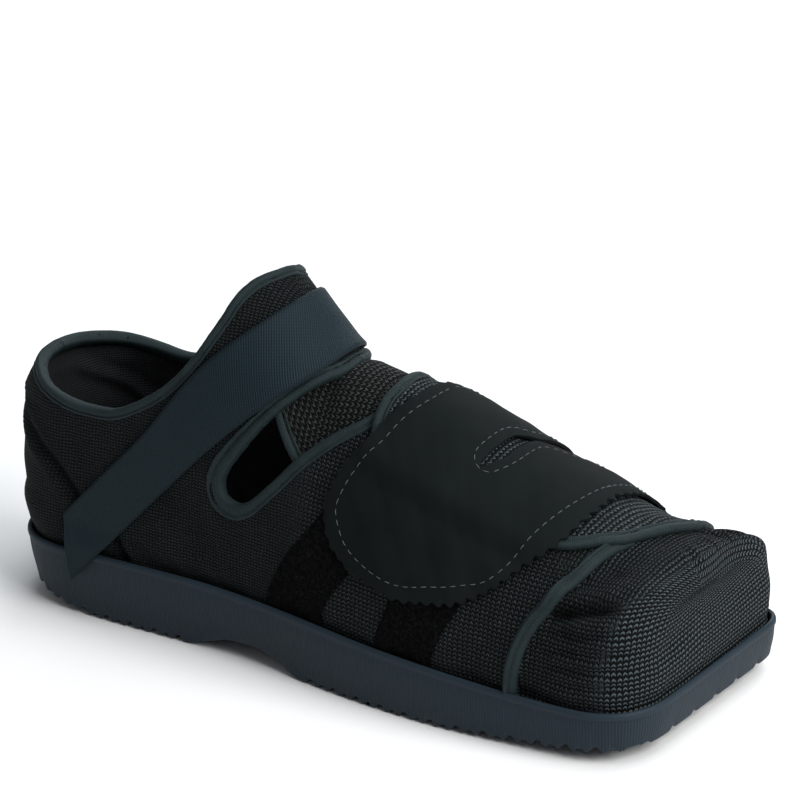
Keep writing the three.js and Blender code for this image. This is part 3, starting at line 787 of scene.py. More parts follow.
def knit(s, u, v, pu, pv, lean):
    """Zig-zag columns of loops: returns how much a place is raised thread, 0 to 1."""
    cu = u / pu
    fu = s.abs(s.fract(cu) - 0.5) * 2.0  # 0 in the middle of a column, 1 between two
    rowv = s.fract(v / pv + fu * lean)
    thread = 1.0 - s.abs(rowv - 0.5) * 2.0
    thread = s.sm(0.25, 0.85, thread)
    return thread * s.sm(1.0, 0.55, fu), fu


def holes(s, u, v, p, r0=0.2, r1=0.36):
    """Open mesh: returns 1 on the thread and 0 in the holes, which sit in staggered rows."""
    q = p * 0.866
    rowi = s.math("FLOOR", v / q)
    du = s.fract(u / p + s.fract(rowi * 0.5)) - 0.5
    dv = s.fract(v / q) - 0.5
    d = s.math("SQRT", du * du + dv * dv * 0.75)
    return s.sm(r0, r1, d)


def mesh_material():
    s = Shade("cloth")
    u, v = s.uv("UVMap")
    px, py = s.uv("plan")
    top, toe_knit_and_highlight = s.attr("topness"), s.attr("toe_knit_and_highlight")
    o = s.obj()
    wob = (s.noise(o, 0.12, 2.0) - 0.5) * 1.6
    small = (s.noise(o, 0.7, 2.0) - 0.5) * 0.9
    fore = s.sm(138.0, 156.0, px)
    a1, fu = knit(s, u + wob + small * 0.5, v + wob + small * 0.5, 1.45, 1.25, 0.55)
    a2, fu = knit(s, u + wob + small * 0.5, v + wob + small * 0.5, 2.0, 1.7, 0.6)
    a = s.lerp(fore, a1 * 0.8, a2)
    c, fc = knit(s, u + wob * 0.7 + small * 0.6, v + wob * 0.7 + small * 0.5, 2.25, 2.0, 0.42)
    b, fb = knit(s, py + wob * 0.7 + small * 0.6, px + wob * 0.7 + small * 0.5, 2.2, 1.6, 0.42)
    crease_shade = s.attr("crease_shade")
    fine = s.noise(s.vec(u, v), 3.2, 2.0)
    h = s.lerp(top, s.lerp(toe_knit_and_highlight, a, c), b * 0.85)
    mott = s.noise(o, 0.05, 4.0)
    # painted glints: random bright specks on the threads, strongest on the toe and forefoot
    glint = s.sm(0.48, 0.78, s.noise(o, 0.85, 2.0, 0.7))
    dark = (0.0012, 0.0014, 0.0016)
    lightc = s.mix(mott, (0.0130, 0.0185, 0.0200), (0.027, 0.037, 0.040))
    # painted highlight: the threads of the front-facing toe, which faces the key light, are lightened; the same mask
    # also switches the toe's knit pattern
    lightc = s.mix(toe_knit_and_highlight * 0.85, lightc, (0.078, 0.103, 0.113))
    lightc = s.mix(glint * s.lerp(toe_knit_and_highlight, fore * 0.3 + 0.25, 0.6), lightc, (0.100, 0.122, 0.130))
    dust = s.sm(0.64, 0.8, s.noise(o, 0.02, 5.0)) * 0.12
    col = s.mix(h * s.lerp(toe_knit_and_highlight, 1.0, h * 0.75 + 0.2) * (0.66 + fine * 0.5), dark, lightc)
    col = s.mix(dust, col, (0.030, 0.032, 0.032))
    # painted shade: the cloth darkens to near black along its creases and under the toe ledge
    col = s.mix(crease_shade * 0.85, col, (0.0009, 0.0010, 0.0011))
    s.finish(col, h + fine * 0.3 + mott * 0.4, rough=s.lerp(h, 0.95, 0.62), bump=0.0006, spec=0.12, sheen=0.0)


def lining_material():
    s = Shade("lining")
    u, v = s.uv("UVMap")
    o = s.obj()
    w, fu = knit(s, u, v, 1.1, 1.0, 0.5)
    m = s.noise(o, 0.08, 4.0)
    col = s.mix(w, s.mix(m, (0.010, 0.0105, 0.012), (0.016, 0.017, 0.019)), s.mix(m, (0.030, 0.032, 0.036), (0.050, 0.053, 0.058)))
    s.finish(col, w + s.noise(o, 1.6, 2.0) * 0.4, rough=0.95, bump=0.00022, spec=0.06, sheen=0.0)


def open_mesh(name, pitch, dark, a, b, stagger_r=(0.2, 0.4), bump=0.0006, lean=0.0):
    s = Shade(name)
    u, v = s.uv("UVMap")
    o = s.obj()
    wob = (s.noise(o, 0.1, 2.0) - 0.5) * 1.2
    small = (s.noise(o, 0.6, 2.0) - 0.5) * 0.8
    if lean:
        h, _ = knit(s, v + wob + small, u + wob + small, pitch, pitch * 0.9, lean)
    else:
        h = holes(s, v + wob + small, u + wob + small, pitch, *stagger_r)
    m = s.noise(o, 0.07, 4.0)
    tw = s.noise(o, 1.1, 2.0)
    strand = s.sin((u + v) * 4.2) * 0.5 + 0.5
    col = s.mix(h * (0.7 + strand * 0.3), dark, s.mix(m, a, b))
    col = s.mix(s.sm(0.52, 0.78, tw) * 0.7 * h, col, tuple(2.6 * c for c in b))
    s.finish(col, h + tw * 0.3, rough=s.lerp(h, 0.95, 0.6), bump=bump, spec=0.12, sheen=0.0)


def binding_material():
    s = Shade("binding")
    u, v = s.uv("UVMap")
    o = s.obj()
    weave = s.sin(u * 7.5) * 0.5 + s.sin(v * 9.0) * 0.35
    m = s.noise(o, 0.09, 4.0)
    f = s.noise(o, 1.8, 2.0)
    col = s.mix(m, (0.0060, 0.0115, 0.0130), (0.0165, 0.0275, 0.0300))
    col = s.mix(s.sm(0.5, 0.8, f) * 0.4, col, (0.032, 0.048, 0.051))
    s.finish(col, weave * 0.5 + f * 0.9, rough=s.lerp(m, 0.55, 0.75), bump=0.00014, spec=0.14, sheen=0.0)


def patch_material():
    s = Shade("felt")
    u, v = s.uv("UVMap")
    o = s.obj()
    m = s.noise(o, 0.035, 5.0)
    fz = s.noise(o, 2.4, 4.0, 0.7)
    grain = s.noise(s.vec(u * 0.6, v * 2.2), 1.6, 3.0)
    col = s.mix(m, (0.0042, 0.0060, 0.0063), (0.0084, 0.0113, 0.0117))
    col = s.mix(s.sm(0.6, 0.85, fz) * 0.35, col, (0.019, 0.021, 0.0215))
    col = s.mix(s.sm(0.55, 0.75, s.noise(o, 0.012, 3.0)) * 0.25, col, (0.016, 0.019, 0.0195))
    s.finish(col, fz * 0.7 + grain * 0.5 + m * 1.2, rough=s.lerp(m, 0.66, 0.82), bump=0.00014, spec=0.045, sheen=0.0)


def web_material():
    s = Shade("web")
    u, v = s.uv("UVMap")
    o = s.obj()
    rib = s.sin(u * (2 * math.pi / 1.15)) * 0.5 + 0.5
    warp = s.sin(v * (2 * math.pi / 0.8) + s.math("FLOOR", u / 1.15) * math.pi) * 0.5 + 0.5
    m = s.noise(o, 0.04, 4.0)
    f = s.noise(s.vec(u * 0.35, v), 3.0, 3.0)
    edge = s.sm(9.2, 10.6, s.abs(v))
    h = rib * 0.7 + warp * 0.3
    col = s.mix(h, (0.0052, 0.0110, 0.0145), s.mix(m, (0.0110, 0.0212, 0.0270), (0.0160, 0.0290, 0.0365)))
    col = s.mix(s.sm(0.55, 0.85, f) * 0.35, col, (0.028, 0.041, 0.049))
    col = s.mix(edge * 0.5, col, (0.006, 0.010, 0.012))
    s.finish(col, h + f * 0.3, rough=s.lerp(m, 0.5, 0.66), bump=0.00016, spec=0.08, sheen=0.0)


def fuzz_material():
    s = Shade("loop")
    o = s.obj()
    m = s.noise(o, 0.06, 4.0)
    fz = s.noise(o, 0.75, 5.0, 0.75)
    tuft = s.sm(0.42, 0.68, fz)
    col = s.mix(tuft, (0.0009, 0.0009, 0.0010), s.mix(m, (0.0085, 0.0090, 0.0093), (0.0155, 0.0165, 0.0168)))
    col = s.mix(s.sm(0.66, 0.82, fz) * 0.6, col, (0.030, 0.032, 0.033))
    s.finish(col, fz + tuft * 0.6, rough=s.lerp(fz, 0.9, 1.0), bump=0.0016, spec=0.05, sheen=0.0)


def rubber_material():
    s = Shade("rubber")
    u, v = s.uv("UVMap")
    band = s.attr("ribbed")
    o = s.obj()
    rib = s.sin(u * (2 * math.pi / 1.25)) * 0.5 + 0.5
    m = s.noise(o, 0.03, 5.0)
    g = s.noise(o, 1.4, 4.0, 0.65)
    x, y, z = s.xyz(o)
    scuff = s.sm(0.58, 0.74, s.noise(s.vec(x * 0.02, y * 0.02, z * 0.12), 1.0, 6.0, 0.7)) * s.sm(9.0, 1.5, z)
    col = s.mix(m, (0.0110, 0.0190, 0.0270), (0.0195, 0.0315, 0.0430))
    col = s.mix(s.sm(0.5, 0.8, g) * 0.35, col, (0.034, 0.046, 0.056))
    # painted shade in the grooves between the ribs of the wall
    col = s.mix((1.0 - rib) * band * 0.3, col, (0.0065, 0.0100, 0.0130))
    col = s.mix(scuff * 0.5, col, (0.045, 0.050, 0.052))
    s.finish(col, rib * band + g * 0.35, rough=s.lerp(m, 0.48, 0.66), bump=0.00016, spec=0.15)


def insole_material():
    s = Shade("footbed")
    u, v = s.uv("UVMap")
    o = s.obj()
    w = s.sin(u * 5.2) * s.sin(v * 5.2)
    m = s.noise(o, 0.04, 4.0)
    worn = s.sm(0.5, 0.75, s.noise(o, 0.018, 3.0))
    col = s.mix(m, (0.0095, 0.0105, 0.0125), (0.018, 0.020, 0.023))
    col = s.mix(worn * 0.4, col, (0.030, 0.032, 0.035))
    col = s.mix(s.sm(0.3, 0.9, w) * 0.4, col, (0.035, 0.038, 0.042))
    s.finish(col, w * 0.5 + s.noise(o, 1.7, 3.0), rough=0.93, bump=0.00025, spec=0.1, sheen=0.0)


def thread_material():
    s = Shade("thread")
    u, v = s.uv("UVMap")
    o = s.obj()
    tw = s.sin(u * 9.0 + v * 6.0) * 0.5 + 0.5
    m = s.noise(o, 0.3, 3.0)
    col = s.mix(tw * 0.7 + m * 0.3, (0.040, 0.048, 0.050), (0.105, 0.118, 0.122))
    s.finish(col, tw, rough=0.7, bump=0.00008, spec=0.3)


def floor_material():
    s = Shade("ground")
    o = s.obj(1.0)
    m = s.noise(o, 3.0, 3.0)
    col = s.mix(m, (0.86, 0.865, 0.87), (0.88, 0.885, 0.89))
    s.finish(col, m, rough=0.75, bump=0.0002, spec=0.1)


mesh_material()
lining_material()
open_mesh("flapmesh", 2.2, (0.0016, 0.0020, 0.0023), (0.036, 0.050, 0.054), (0.058, 0.078, 0.084), lean=0.5)
open_mesh("tonguemesh", 2.4, (0.0012, 0.0012, 0.0012), (0.021, 0.0255, 0.0250), (0.036, 0.042, 0.0405), lean=0.6)
binding_material()
patch_material()
web_material()
fuzz_material()
rubber_material()
insole_material()
thread_material()
floor_material()

# ------------------------------------------------------------------ the upper
collar_curve = smooth(COLLAR, 0.8)


def crest_cut(curve, ahead):
    """Part of a side-view curve that lies under the crest, and how far below the crest each point lies."""
    cx, cz = P1[:N_BODY, NJ, 0], P1[:N_BODY, NJ, 2]
    h = np.interp(curve[:, 0], cx, cz) - curve[:, 1]
    return curve[h > 0.25], h


def edge_path(curve, first, last, drop=0.0):
    """Closed path over both sides: lateral from first to last, then back on the medial side."""
    halves = []
    for side in (-1, 1):
        c = curve - np.stack([0 * curve[:, 0], (drop if side > 0 else 0.0) * np.exp(-((curve[:, 0] - 118) / 9) ** 2)], 1)
        s = locate(side, c)
        s = np.concatenate([[first] if first is not None else np.zeros((0, 2)), s, [last] if last is not None else np.zeros((0, 2))])
        p, n = surf(s, 0, True)
        halves.append((p, n))
    P = np.concatenate([halves[0][0], halves[1][0][::-1][1:-1]])
    N = np.concatenate([halves[0][1], halves[1][1][::-1][1:-1]])
    A = even(np.concatenate([P, N * 1e-3], 1), 1.5, True)
    return A[:, :3], unit(A[:, 3:])


def crest_at(x):
    si = np.interp(x, P1[:N_BODY, NJ, 0], IDX)
    return np.array([si, float(NJ)])


cc, h = crest_cut(collar_curve, True)
cc = cc[cc[:, 0] > 3.5]
heel_j = float(np.interp(95.45, P1[0, :NJ + 1, 2], np.arange(NJ + 1)))
x_end = cc[-1, 0] + 0.9
collar_P, collar_N = edge_path(cc, np.array([0.0, heel_j]), crest_at(x_end), 5.0)
near_crest = (np.exp(-(collar_P[:, 1] / 6) ** 2) * step(104, 112, collar_P[:, 0]))[:, None]  # it rounds over the instep
collar_P = collar_P * (1 - near_crest) + blur(collar_P, 3, True, 5) * near_crest
touch = near_crest[:, 0] > 0.01
laid_P, laid_N = surf(project(collar_P[touch], 0), 0, True)
collar_P[touch] = laid_P * near_crest[touch] + collar_P[touch] * (1 - near_crest[touch])
collar_N[touch] = laid_N
collar_N = unit(collar_N * (1 - near_crest) + blur(collar_N, 2, True, 3) * near_crest)
collar_P += collar_N * near_crest * 0.5
fore_k = int(np.argmax(collar_P[:, 0]))


def collar_cut(path):
    return np.concatenate([[(-12, path[0, 1])], path, [(path[-1, 0] + 0.4, 190), (-12, 190)]])


collar_poly = collar_cut(collar_P[:fore_k + 1][:, [0, 2]])
collar_poly_medial = collar_cut(np.concatenate([collar_P[:1], collar_P[fore_k:][::-1]])[:, [0, 2]])
opening_curve = smooth(OPENING, 0.8)
opening_poly = np.concatenate([opening_curve, [(173, 150), (151.3, 150)]])

flat_xz = P1[..., [0, 2]].reshape(-1, 2)
on_lateral = np.repeat((np.arange(2 * NJ + 1) <= NJ)[None], NI, 0).reshape(-1)
gone = np.where(on_lateral, inside(collar_poly, flat_xz), inside(collar_poly_medial, flat_xz))
gone = (gone | inside(opening_poly, flat_xz)).reshape(NI, 2 * NJ + 1)
keep = ~(gone[:-1, :-1] | gone[1:, :-1] | gone[:-1, 1:] | gone[1:, 1:])


def build_upper():
    nj = 2 * NJ + 1
    idx = np.arange(NI * nj).reshape(NI, nj)
    idx[0, NJ + 1:] = idx[0, :NJ][::-1]  # both sides meet at the back of the heel and on the toe's middle line
    idx[-1, NJ + 1:] = idx[-1, :NJ][::-1]
    a, b, c, d = idx[:-1, :-1], idx[1:, :-1], idx[1:, 1:], idx[:-1, 1:]
    outer = np.stack([a, b, c, d], -1)[keep]
    P1w, INw = P1.reshape(-1, 3), INNER.reshape(-1, 3)
    m = len(P1w)
    q0, q1, q3 = P1w[outer[len(outer) // 3]][[0, 1, 3]]
    nn = N1.reshape(-1, 3)[outer[len(outer) // 3][0]]
    if np.dot(np.cross(q1 - q0, q3 - q0), nn) < 0:
        outer = outer[:, ::-1]
        order = [3, 2, 1, 0]
    else:
        order = [0, 1, 2, 3]
    # flat-sheet coordinates: round the foot from the middle of the toe, and up from the sole
    Q = np.stack([P0[..., 0], P0[..., 1]], -1)
    run_l = np.concatenate([[0], np.cumsum(np.linalg.norm(np.diff(Q[:, 12], axis=0), axis=1))])
    run_m = np.concatenate([[0], np.cumsum(np.linalg.norm(np.diff(Q[:, nj - 13], axis=0), axis=1))])
    jj = np.arange(nj)
    U_l = np.repeat((run_l - run_l[-1])[:, None], nj, 1)
    U_m = np.repeat((run_m[-1] - run_m)[:, None], nj, 1)
    V_l = jj[None] / NJ * GIRTH[:, :1]
    V_m = (nj - 1 - jj)[None] / NJ * GIRTH[:, 1:]
    plan = P0[..., :2].copy()
    corners = [(slice(None, -1), slice(None, -1)), (slice(1, None), slice(None, -1)), (slice(1, None), slice(1, None)), (slice(None, -1), slice(1, None))]
    side_l = np.repeat((np.arange(nj - 1) < NJ)[None], NI - 1, 0)
    uvs, plans = [], []
    for k in order:
        sl = corners[k]
        u = np.where(side_l, U_l[sl], U_m[sl])[keep]
        v = np.where(side_l, V_l[sl], V_m[sl])[keep]
        uvs.append(np.stack([u, v], -1))
        plans.append(plan[sl][keep])
    uv_o, plan_o = np.stack(uvs, 1), np.stack(plans, 1)
    inner = outer[:, ::-1] + m
    # walls along every open edge of the kept faces
    e = np.concatenate([outer[:, [0, 1]], outer[:, [1, 2]], outer[:, [2, 3]], outer[:, [3, 0]]])
    key = np.sort(e, 1)
    _, inv, cnt = np.unique(key, axis=0, return_inverse=True, return_counts=True)
    e = e[cnt[inv.ravel()] == 1]
    walls = np.stack([e[:, 1], e[:, 0], e[:, 0] + m, e[:, 1] + m], 1)
    faces = np.concatenate([outer, inner, walls])
    verts = np.concatenate([P1w, INw])
    topness = step(0.62, 0.9, N0[..., 2]).reshape(-1) * step(250, 262, P0[..., 0].reshape(-1))
    topness = np.concatenate([topness, topness])
    # front-facing toe: picks the toe's knit pattern and carries painted highlight on its threads
    toe_knit_and_highlight = (step(0.16, 0.55, N0[..., 0]) * step(262, 272, X)).reshape(-1)
    toe_knit_and_highlight = np.concatenate([toe_knit_and_highlight, toe_knit_and_highlight])
    # painted shade along the creases, on the outer faces only
    dark = np.concatenate([CREASE_SHADE.reshape(-1), 0 * CREASE_SHADE.reshape(-1)])
    used = np.unique(faces)
    new = np.full(len(verts), -1)
    new[used] = np.arange(len(used))
    uv = np.concatenate([uv_o.reshape(-1, 2), uv_o[:, ::-1].reshape(-1, 2), np.zeros((len(walls) * 4, 2))])
    pl = np.concatenate([plan_o.reshape(-1, 2), plan_o[:, ::-1].reshape(-1, 2), np.zeros((len(walls) * 4, 2))])
    midx = np.concatenate([np.zeros(len(outer)), np.ones(len(inner)), np.ones(len(walls))])
    return make("upper_shell", verts[used], [new[faces]], uv={"UVMap": uv, "plan": pl}, mats=("cloth", "lining"),
                midx=midx, angle=60, attr={"topness": topness[used], "toe_knit_and_highlight": toe_knit_and_highlight[used], "crease_shade": dark[used]})


upper = build_upper()
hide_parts("upper")


def in_cloth(p):
    q = p[:, [0, 2]]
    above = np.where(p[:, 1] < 0, inside(collar_poly, q), inside(collar_poly_medial, q))
    return ~(above | inside(opening_poly, q))


collar_tape = tape("collar_binding", collar_P, collar_N, True, 3.6, -3.6, 0.0, in_cloth, edge=1.0)

oc, h = crest_cut(opening_curve, True)
open_P, open_N = edge_path(oc, crest_at(oc[0, 0] + 0.05), crest_at(oc[-1, 0] + 0.1))
rear_u = 1 - step(112, 128, open_P[:, 0])
open_tape = tape("opening_binding", open_P, open_N, True, 4.5 + 1.6 * rear_u, -3.6, 0.0, in_cloth, edge=1.0)


def along(points, off, pitch=1.4, extra=0.0):
    """Path on the finished upper through photographed places that lie off mm outside the form."""
    s = project(points, off)
    s = smooth(s * [1.5, 1.3], pitch) / [1.5, 1.3]
    p, n = surf(s, extra, True)
    A = even(np.concatenate([p, n * 1e-3], 1), pitch)
    return A[:, :3], unit(A[:, 3:])


# outer forefoot flap: its bound front edge
fp, fn = along(FLAP_EDGE, 0.5)
fp = np.concatenate([fp[:1], blur(fp, 2, False, 4)[1:-1], fp[-1:]]) + fn * (0.3 + 0.7 * step(50, 56, fp[:, 2:]) * (1 - step(66, 70, fp[:, 2:])))
flap_tape = tape("forefoot_binding", fp, fn, False, 4.8, -1.9, 0.25, lambda p: p[:, 0] < np.interp(p[:, 2], [20, 39, 54, 63, 72], [250, 253, 260, 266, 276]), edge=0.9)

# ------------------------------------------------------------------ loop bands on the quarter
def band(name, left, right, off=0.6):
    a, b = to_xq(project(left, off)), to_xq(project(right, off))
    loop = even(np.concatenate([smooth(a, 1.4), smooth(b, 1.4)[::-1]]), 1.3, True)
    fuzz = 0.25 * np.sin(np.arange(len(loop)) * 1.9) + 0.2 * np.sin(np.arange(len(loop)) * 3.3)
    c = loop.mean(0)
    loop = loop + fuzz[:, None] * unit(loop - c)
    return panel(name, loop, 1.7, lambda v: np.full(len(v), 0.08), lambda v: np.full(len(v), 1.0), mats=("loop",), wob=0.12)


band_rear = band("loop_band_rear", [(166, -36, 82), (157, -39, 67), (143, -42, 49), (135, -42, 34), (133, -42, 25), (133, -42, 21.5)],
                 [(184, -42, 66), (173, -45, 49), (166, -46, 39), (162, -46, 31), (161, -46, 24), (161, -46, 21)])
band_front = band("loop_band_front", [(200, -44, 62), (194, -48, 45), (190, -49, 34), (187, -50, 24), (187, -50, 20)],
                  [(230, -45, 60), (224, -49, 48), (219, -51, 39), (215, -52, 30), (213, -52, 23), (213, -52, 19)])

# ------------------------------------------------------------------ tongue
def build_tongue():
    tx, tl, tm = [121, 128, 138, 150, 170, 200, 228], [24, 29.5, 34, 36.5, 36, 32, 26], [24, 29.5, 33, 35, 35, 32, 26]
    fl, fm = pchip(tx, tl), pchip(tx, tm)
    xs = np.arange(121.0, 228.5, 1.6)
    nv = 57
    top, bot, uvs = [], [], []
    for x in xs:
        i = float(np.interp(x, XS, IDX))
        k = int(round(i))
        ys, js = P0[k, :, 1], np.arange(2 * NJ + 1)
        y = np.linspace(-float(fl(x)), float(fm(x)), nv)
        j = np.interp(y, ys, js)
        s = np.stack([np.full(nv, i), j], 1)
        n = unit(bil(N0, s[:, 0], s[:, 1]))
        p = bil(P0, s[:, 0], s[:, 1])
        e = np.clip(np.minimum(np.arange(nv), np.arange(nv)[::-1]) / 4, 0, 1)
        round_ = np.sqrt(1 - (1 - e) ** 2)
        puff = 0.25 * np.sin(x * 0.2) * np.sin(y * 0.16) + 4.2 * step(146, 153, x) * (1 - step(165, 172, x)) * (1 - step(12, 30, np.abs(y)))
        top.append(p - n * (5.2 - 1.35 * round_ - puff * round_)[:, None])
        bot.append(p - n * (5.3 + 1.3 * round_ - puff * round_)[:, None])
        uvs.append(np.stack([np.full(nv, x), np.concatenate([[0], np.cumsum(np.linalg.norm(np.diff(p, axis=0), axis=1))])], 1))
    top, bot = np.array(top), np.array(bot)
    top[..., 2] = np.minimum(top[..., 2], 143.6)
    m, n = len(xs), nv
    idx = np.arange(m * n).reshape(m, n)
    q = np.stack([idx[:-1, :-1], idx[1:, :-1], idx[1:, 1:], idx[:-1, 1:]], -1).reshape(-1, 4)
    e = np.concatenate([np.stack([idx[0, :-1], idx[0, 1:]], 1), np.stack([idx[:-1, -1], idx[1:, -1]], 1),
                        np.stack([idx[-1, ::-1][:-1], idx[-1, ::-1][1:]], 1), np.stack([idx[::-1, 0][:-1], idx[::-1, 0][1:]], 1)])
    walls = np.stack([e[:, 0], e[:, 1], e[:, 1] + m * n, e[:, 0] + m * n], 1)
    V = np.concatenate([top.reshape(-1, 3), bot.reshape(-1, 3)])
    uv = np.concatenate([np.array(uvs).reshape(-1, 2)] * 2)
    f = np.concatenate([q, q[:, ::-1] + m * n, walls])
    c = V[q[len(q) // 2]]
    if np.cross(c[1] - c[0], c[3] - c[0])[2] < 0:
        f = f[:, ::-1]
    t = make("tongue_pad", V, [f], uv={"UVMap": uv}, mats=("tonguemesh",), angle=60)
    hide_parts("tongue")
    tapes = []
    for name, col in (("lateral", 0), ("medial", -1)):
        P = (top[2:-12, col] + bot[2:-12, col]) / 2
        N = unit(top[2:-12, 3 if col == 0 else -4] - bot[2:-12, 3 if col == 0 else -4])
        mid = top[2:-12, n // 2]
        tapes.append(tape("tongue_binding_" + name, P, N, False, 4.6, -1.5, 1.5,
                          lambda p, mid=mid: np.linalg.norm(p - mid, axis=1) < np.linalg.norm(P - mid, axis=1) , edge=0.5))
    return t, tapes


tongue, tongue_tapes = build_tongue()

# ------------------------------------------------------------------ instep flap
FLAP_PLAN = [(168.5, 14), (170, -4), (169.5, -14), (171, -22), (175, -27.5), (186, -29.5), (220, -31), (246, -31),
             (257, -28.5), (264, -24.5), (270, -18), (274.5, -8), (278, 4), (281, 16), (281.5, 28), (279, 40), (275.5, 50)]
low_m = [(272, 50, 50), (271, 60, 36), (171, 46, 36), (170, 44, 50), (169, 40, 66), (168.6, 34, 84)]
flap_open = plan_to_xq(FLAP_PLAN)
flap_low = plan_to_xq(low_m)
flap_ctrl = np.concatenate([flap_open, flap_low])
n_open = len(flap_open)
flap_loop = smooth(flap_ctrl, 1.3, True, corners=(n_open + 1, n_open + 2))
flap = panel("instep_flap_cloth", flap_loop, 1.7, lambda v: np.full(len(v), 0.45), lambda v: np.full(len(v), 2.6), drop=0.5,
             mats=("flapmesh",), wob=0.15)
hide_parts("instep_flap")


def path_xq(ctrl, off, pitch=1.4, corners=()):
    c = smooth(ctrl, pitch, False, corners)
    p, n = surf(from_xq(c), off, True)
    A = even(np.concatenate([p, n * 1e-3], 1), pitch)
    return A[:, :3], unit(A[:, 3:])


def in_flap(p):
    s = project(p, 1.5)
    return inside(flap_loop, to_xq(s))


ctrl = np.concatenate([flap_low[2:], flap_open, flap_low[:2]])
ip, inn = path_xq(ctrl, 1.5)
instep_tape = tape("instep_binding", ip, inn, False, 4.4, -1.1, 1.1, in_flap, edge=0.9)

# ------------------------------------------------------------------ closure patch
def settle(v):
    """0 over the flap, 1 where the patch has come down onto the upper."""
    d = poly_distance(flap_loop, v)
    d = np.where(inside(flap_loop, v), 0, d)
    return step(0.5, 11, d)


OUTER = [(183, 8, 111), (182, -7, 112), (179, -17, 109), (176, -23, 105), (173, -29, 100), (169, -33, 95), (165, -37, 89),
         (163, -40, 82), (161, -42, 75), (162, -44, 69), (165, -46, 62), (170, -48, 57), (177, -50, 52), (194, -53, 48),
         (200, -54, 47), (211, -54, 49), (224, -53, 51), (236, -51, 58), (240, -49, 61), (249, -41, 70), (257, -32, 76),
         (260.5, -13, 81), (260.5, 5, 82)]
SLOT = [(224, 9, 95), (223, -1, 96), (222, -12, 95), (217, -21, 94), (216, -19, 95), (217, -8, 98), (218, 4, 98), (223, 12, 95)]


def settled(xq):
    w = settle(xq)[:, None]
    return xq + w * np.array([-1.3, 0.0]) + w * np.where(xq[:, 1:] < 0, 1.0, 0.0) * np.array([0.0, -0.7])


outer_xq = settled(to_xq(project(OUTER, 5.5)))
slot_xq = to_xq(project(SLOT, 5.5))
mx = lambda pts: plan_to_xq(pts)
strap1_rear = mx([(185, 20), (186, 34), (186, 44, 66), (186, 50, 34)])
strap1_front = mx([(224, 58, 34), (223, 54, 55), (223, 38), (223, 26)])
strap2_rear = mx([(233.5, 22), (235, 32), (236, 44), (236, 56, 50), (236, 60, 34)])
strap2_front = mx([(257.5, 61, 34), (257.5, 55, 46), (257.6, 44), (258, 30), (259.3, 17)])


def pink(curve, pitch, amp, phase=0.0):
    """Saw-tooth along an open curve: teeth of that pitch, cut by pinking shears."""
    c = even(curve, 0.35)
    L = np.concatenate([[0], np.cumsum(np.linalg.norm(np.diff(c, axis=0), axis=1))])
    n = max(1, round(L[-1] / pitch))
    t = unit(np.gradient(c, axis=0))
    nrm = np.stack([t[:, 1], -t[:, 0]], 1)
    k = np.arange(0, 2 * n + 1) / (2 * n) * L[-1]
    z = np.where(np.arange(2 * n + 1) % 2 == 0, -0.5, 0.5) * amp
    P = np.stack([np.interp(k, L, c[:, i]) for i in range(2)], 1)
    Nn = np.stack([np.interp(k, L, nrm[:, i]) for i in range(2)], 1)
    teeth = P + Nn * z[:, None]
    # rounded a little at tips and roots
    out = []
    for i in range(len(teeth)):
        if i in (0, len(teeth) - 1):
            out.append(teeth[i])
            continue
        a, b, c2 = teeth[i - 1], teeth[i], teeth[i + 1]
        out += [b + (a - b) * 0.22, b * 0.86 + (a + c2) * 0.07, b + (c2 - b) * 0.22]
    return np.array(out)


edge_rear = smooth(outer_xq[:13], 0.8)
edge_low = smooth(outer_xq[12:], 0.8)
loop = np.concatenate([
    pink(edge_rear, 5.0, 1.4), pink(edge_low, 5.6, 1.9)[1:],
    pink(smooth(np.concatenate([outer_xq[-1:], strap2_front[::-1]]), 0.8), 5.6, 1.4)[1:-1], strap2_front[:1],
    strap2_rear[-1:], pink(smooth(strap2_rear[::-1], 0.8), 5.6, 1.5)[1:],
    smooth(np.concatenate([strap2_rear[:1], slot_xq]), 1.2)[1:],
    smooth(np.concatenate([slot_xq[-1:], strap1_front[::-1]]), 1.2)[1:],
    strap1_rear[-1:], pink(smooth(np.concatenate([strap1_rear[::-1], outer_xq[:1]]), 0.8), 5.0, 1.2)[1:-1]])
keep_pts = np.concatenate([[True], np.linalg.norm(np.diff(loop, axis=0), axis=1) > 0.15])
patch_loop = loop[keep_pts]
patch_hi = lambda v: 5.1 - 2.6 * settle(v)
patch_lo = lambda v: 3.75 - 2.6 * settle(v)
patch = panel("closure_patch_cloth", patch_loop, 1.6, patch_lo, patch_hi, drop=0.25, mats=("felt",), wob=0.10)
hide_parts("closure_patch")


def on_patch(points, off=5.5):
    xq = settled(to_xq(project(points, off)))
    c = smooth(xq, 1.0)
    p, n = surf(from_xq(c), patch_hi(c), True)
    return p, n


SEAM = [(188, 4, 110), (187, -7, 110), (183, -20, 106), (179, -29, 99), (173, -35, 91), (168, -41, 80), (167, -43, 73),
        (172, -47, 64), (178, -49, 59), (188, -51, 55), (198, -52, 53), (215, -52, 56), (226, -51, 59), (237, -48, 63),
        (245, -40, 73), (249, -30, 80), (254, -11, 85), (257, 11, 84)]
p, n = on_patch(SEAM)
stitches(p, n)


def offset_line(c, d):
    t = unit(np.gradient(c, axis=0))
    return c + np.stack([t[:, 1], -t[:, 0]], 1) * d


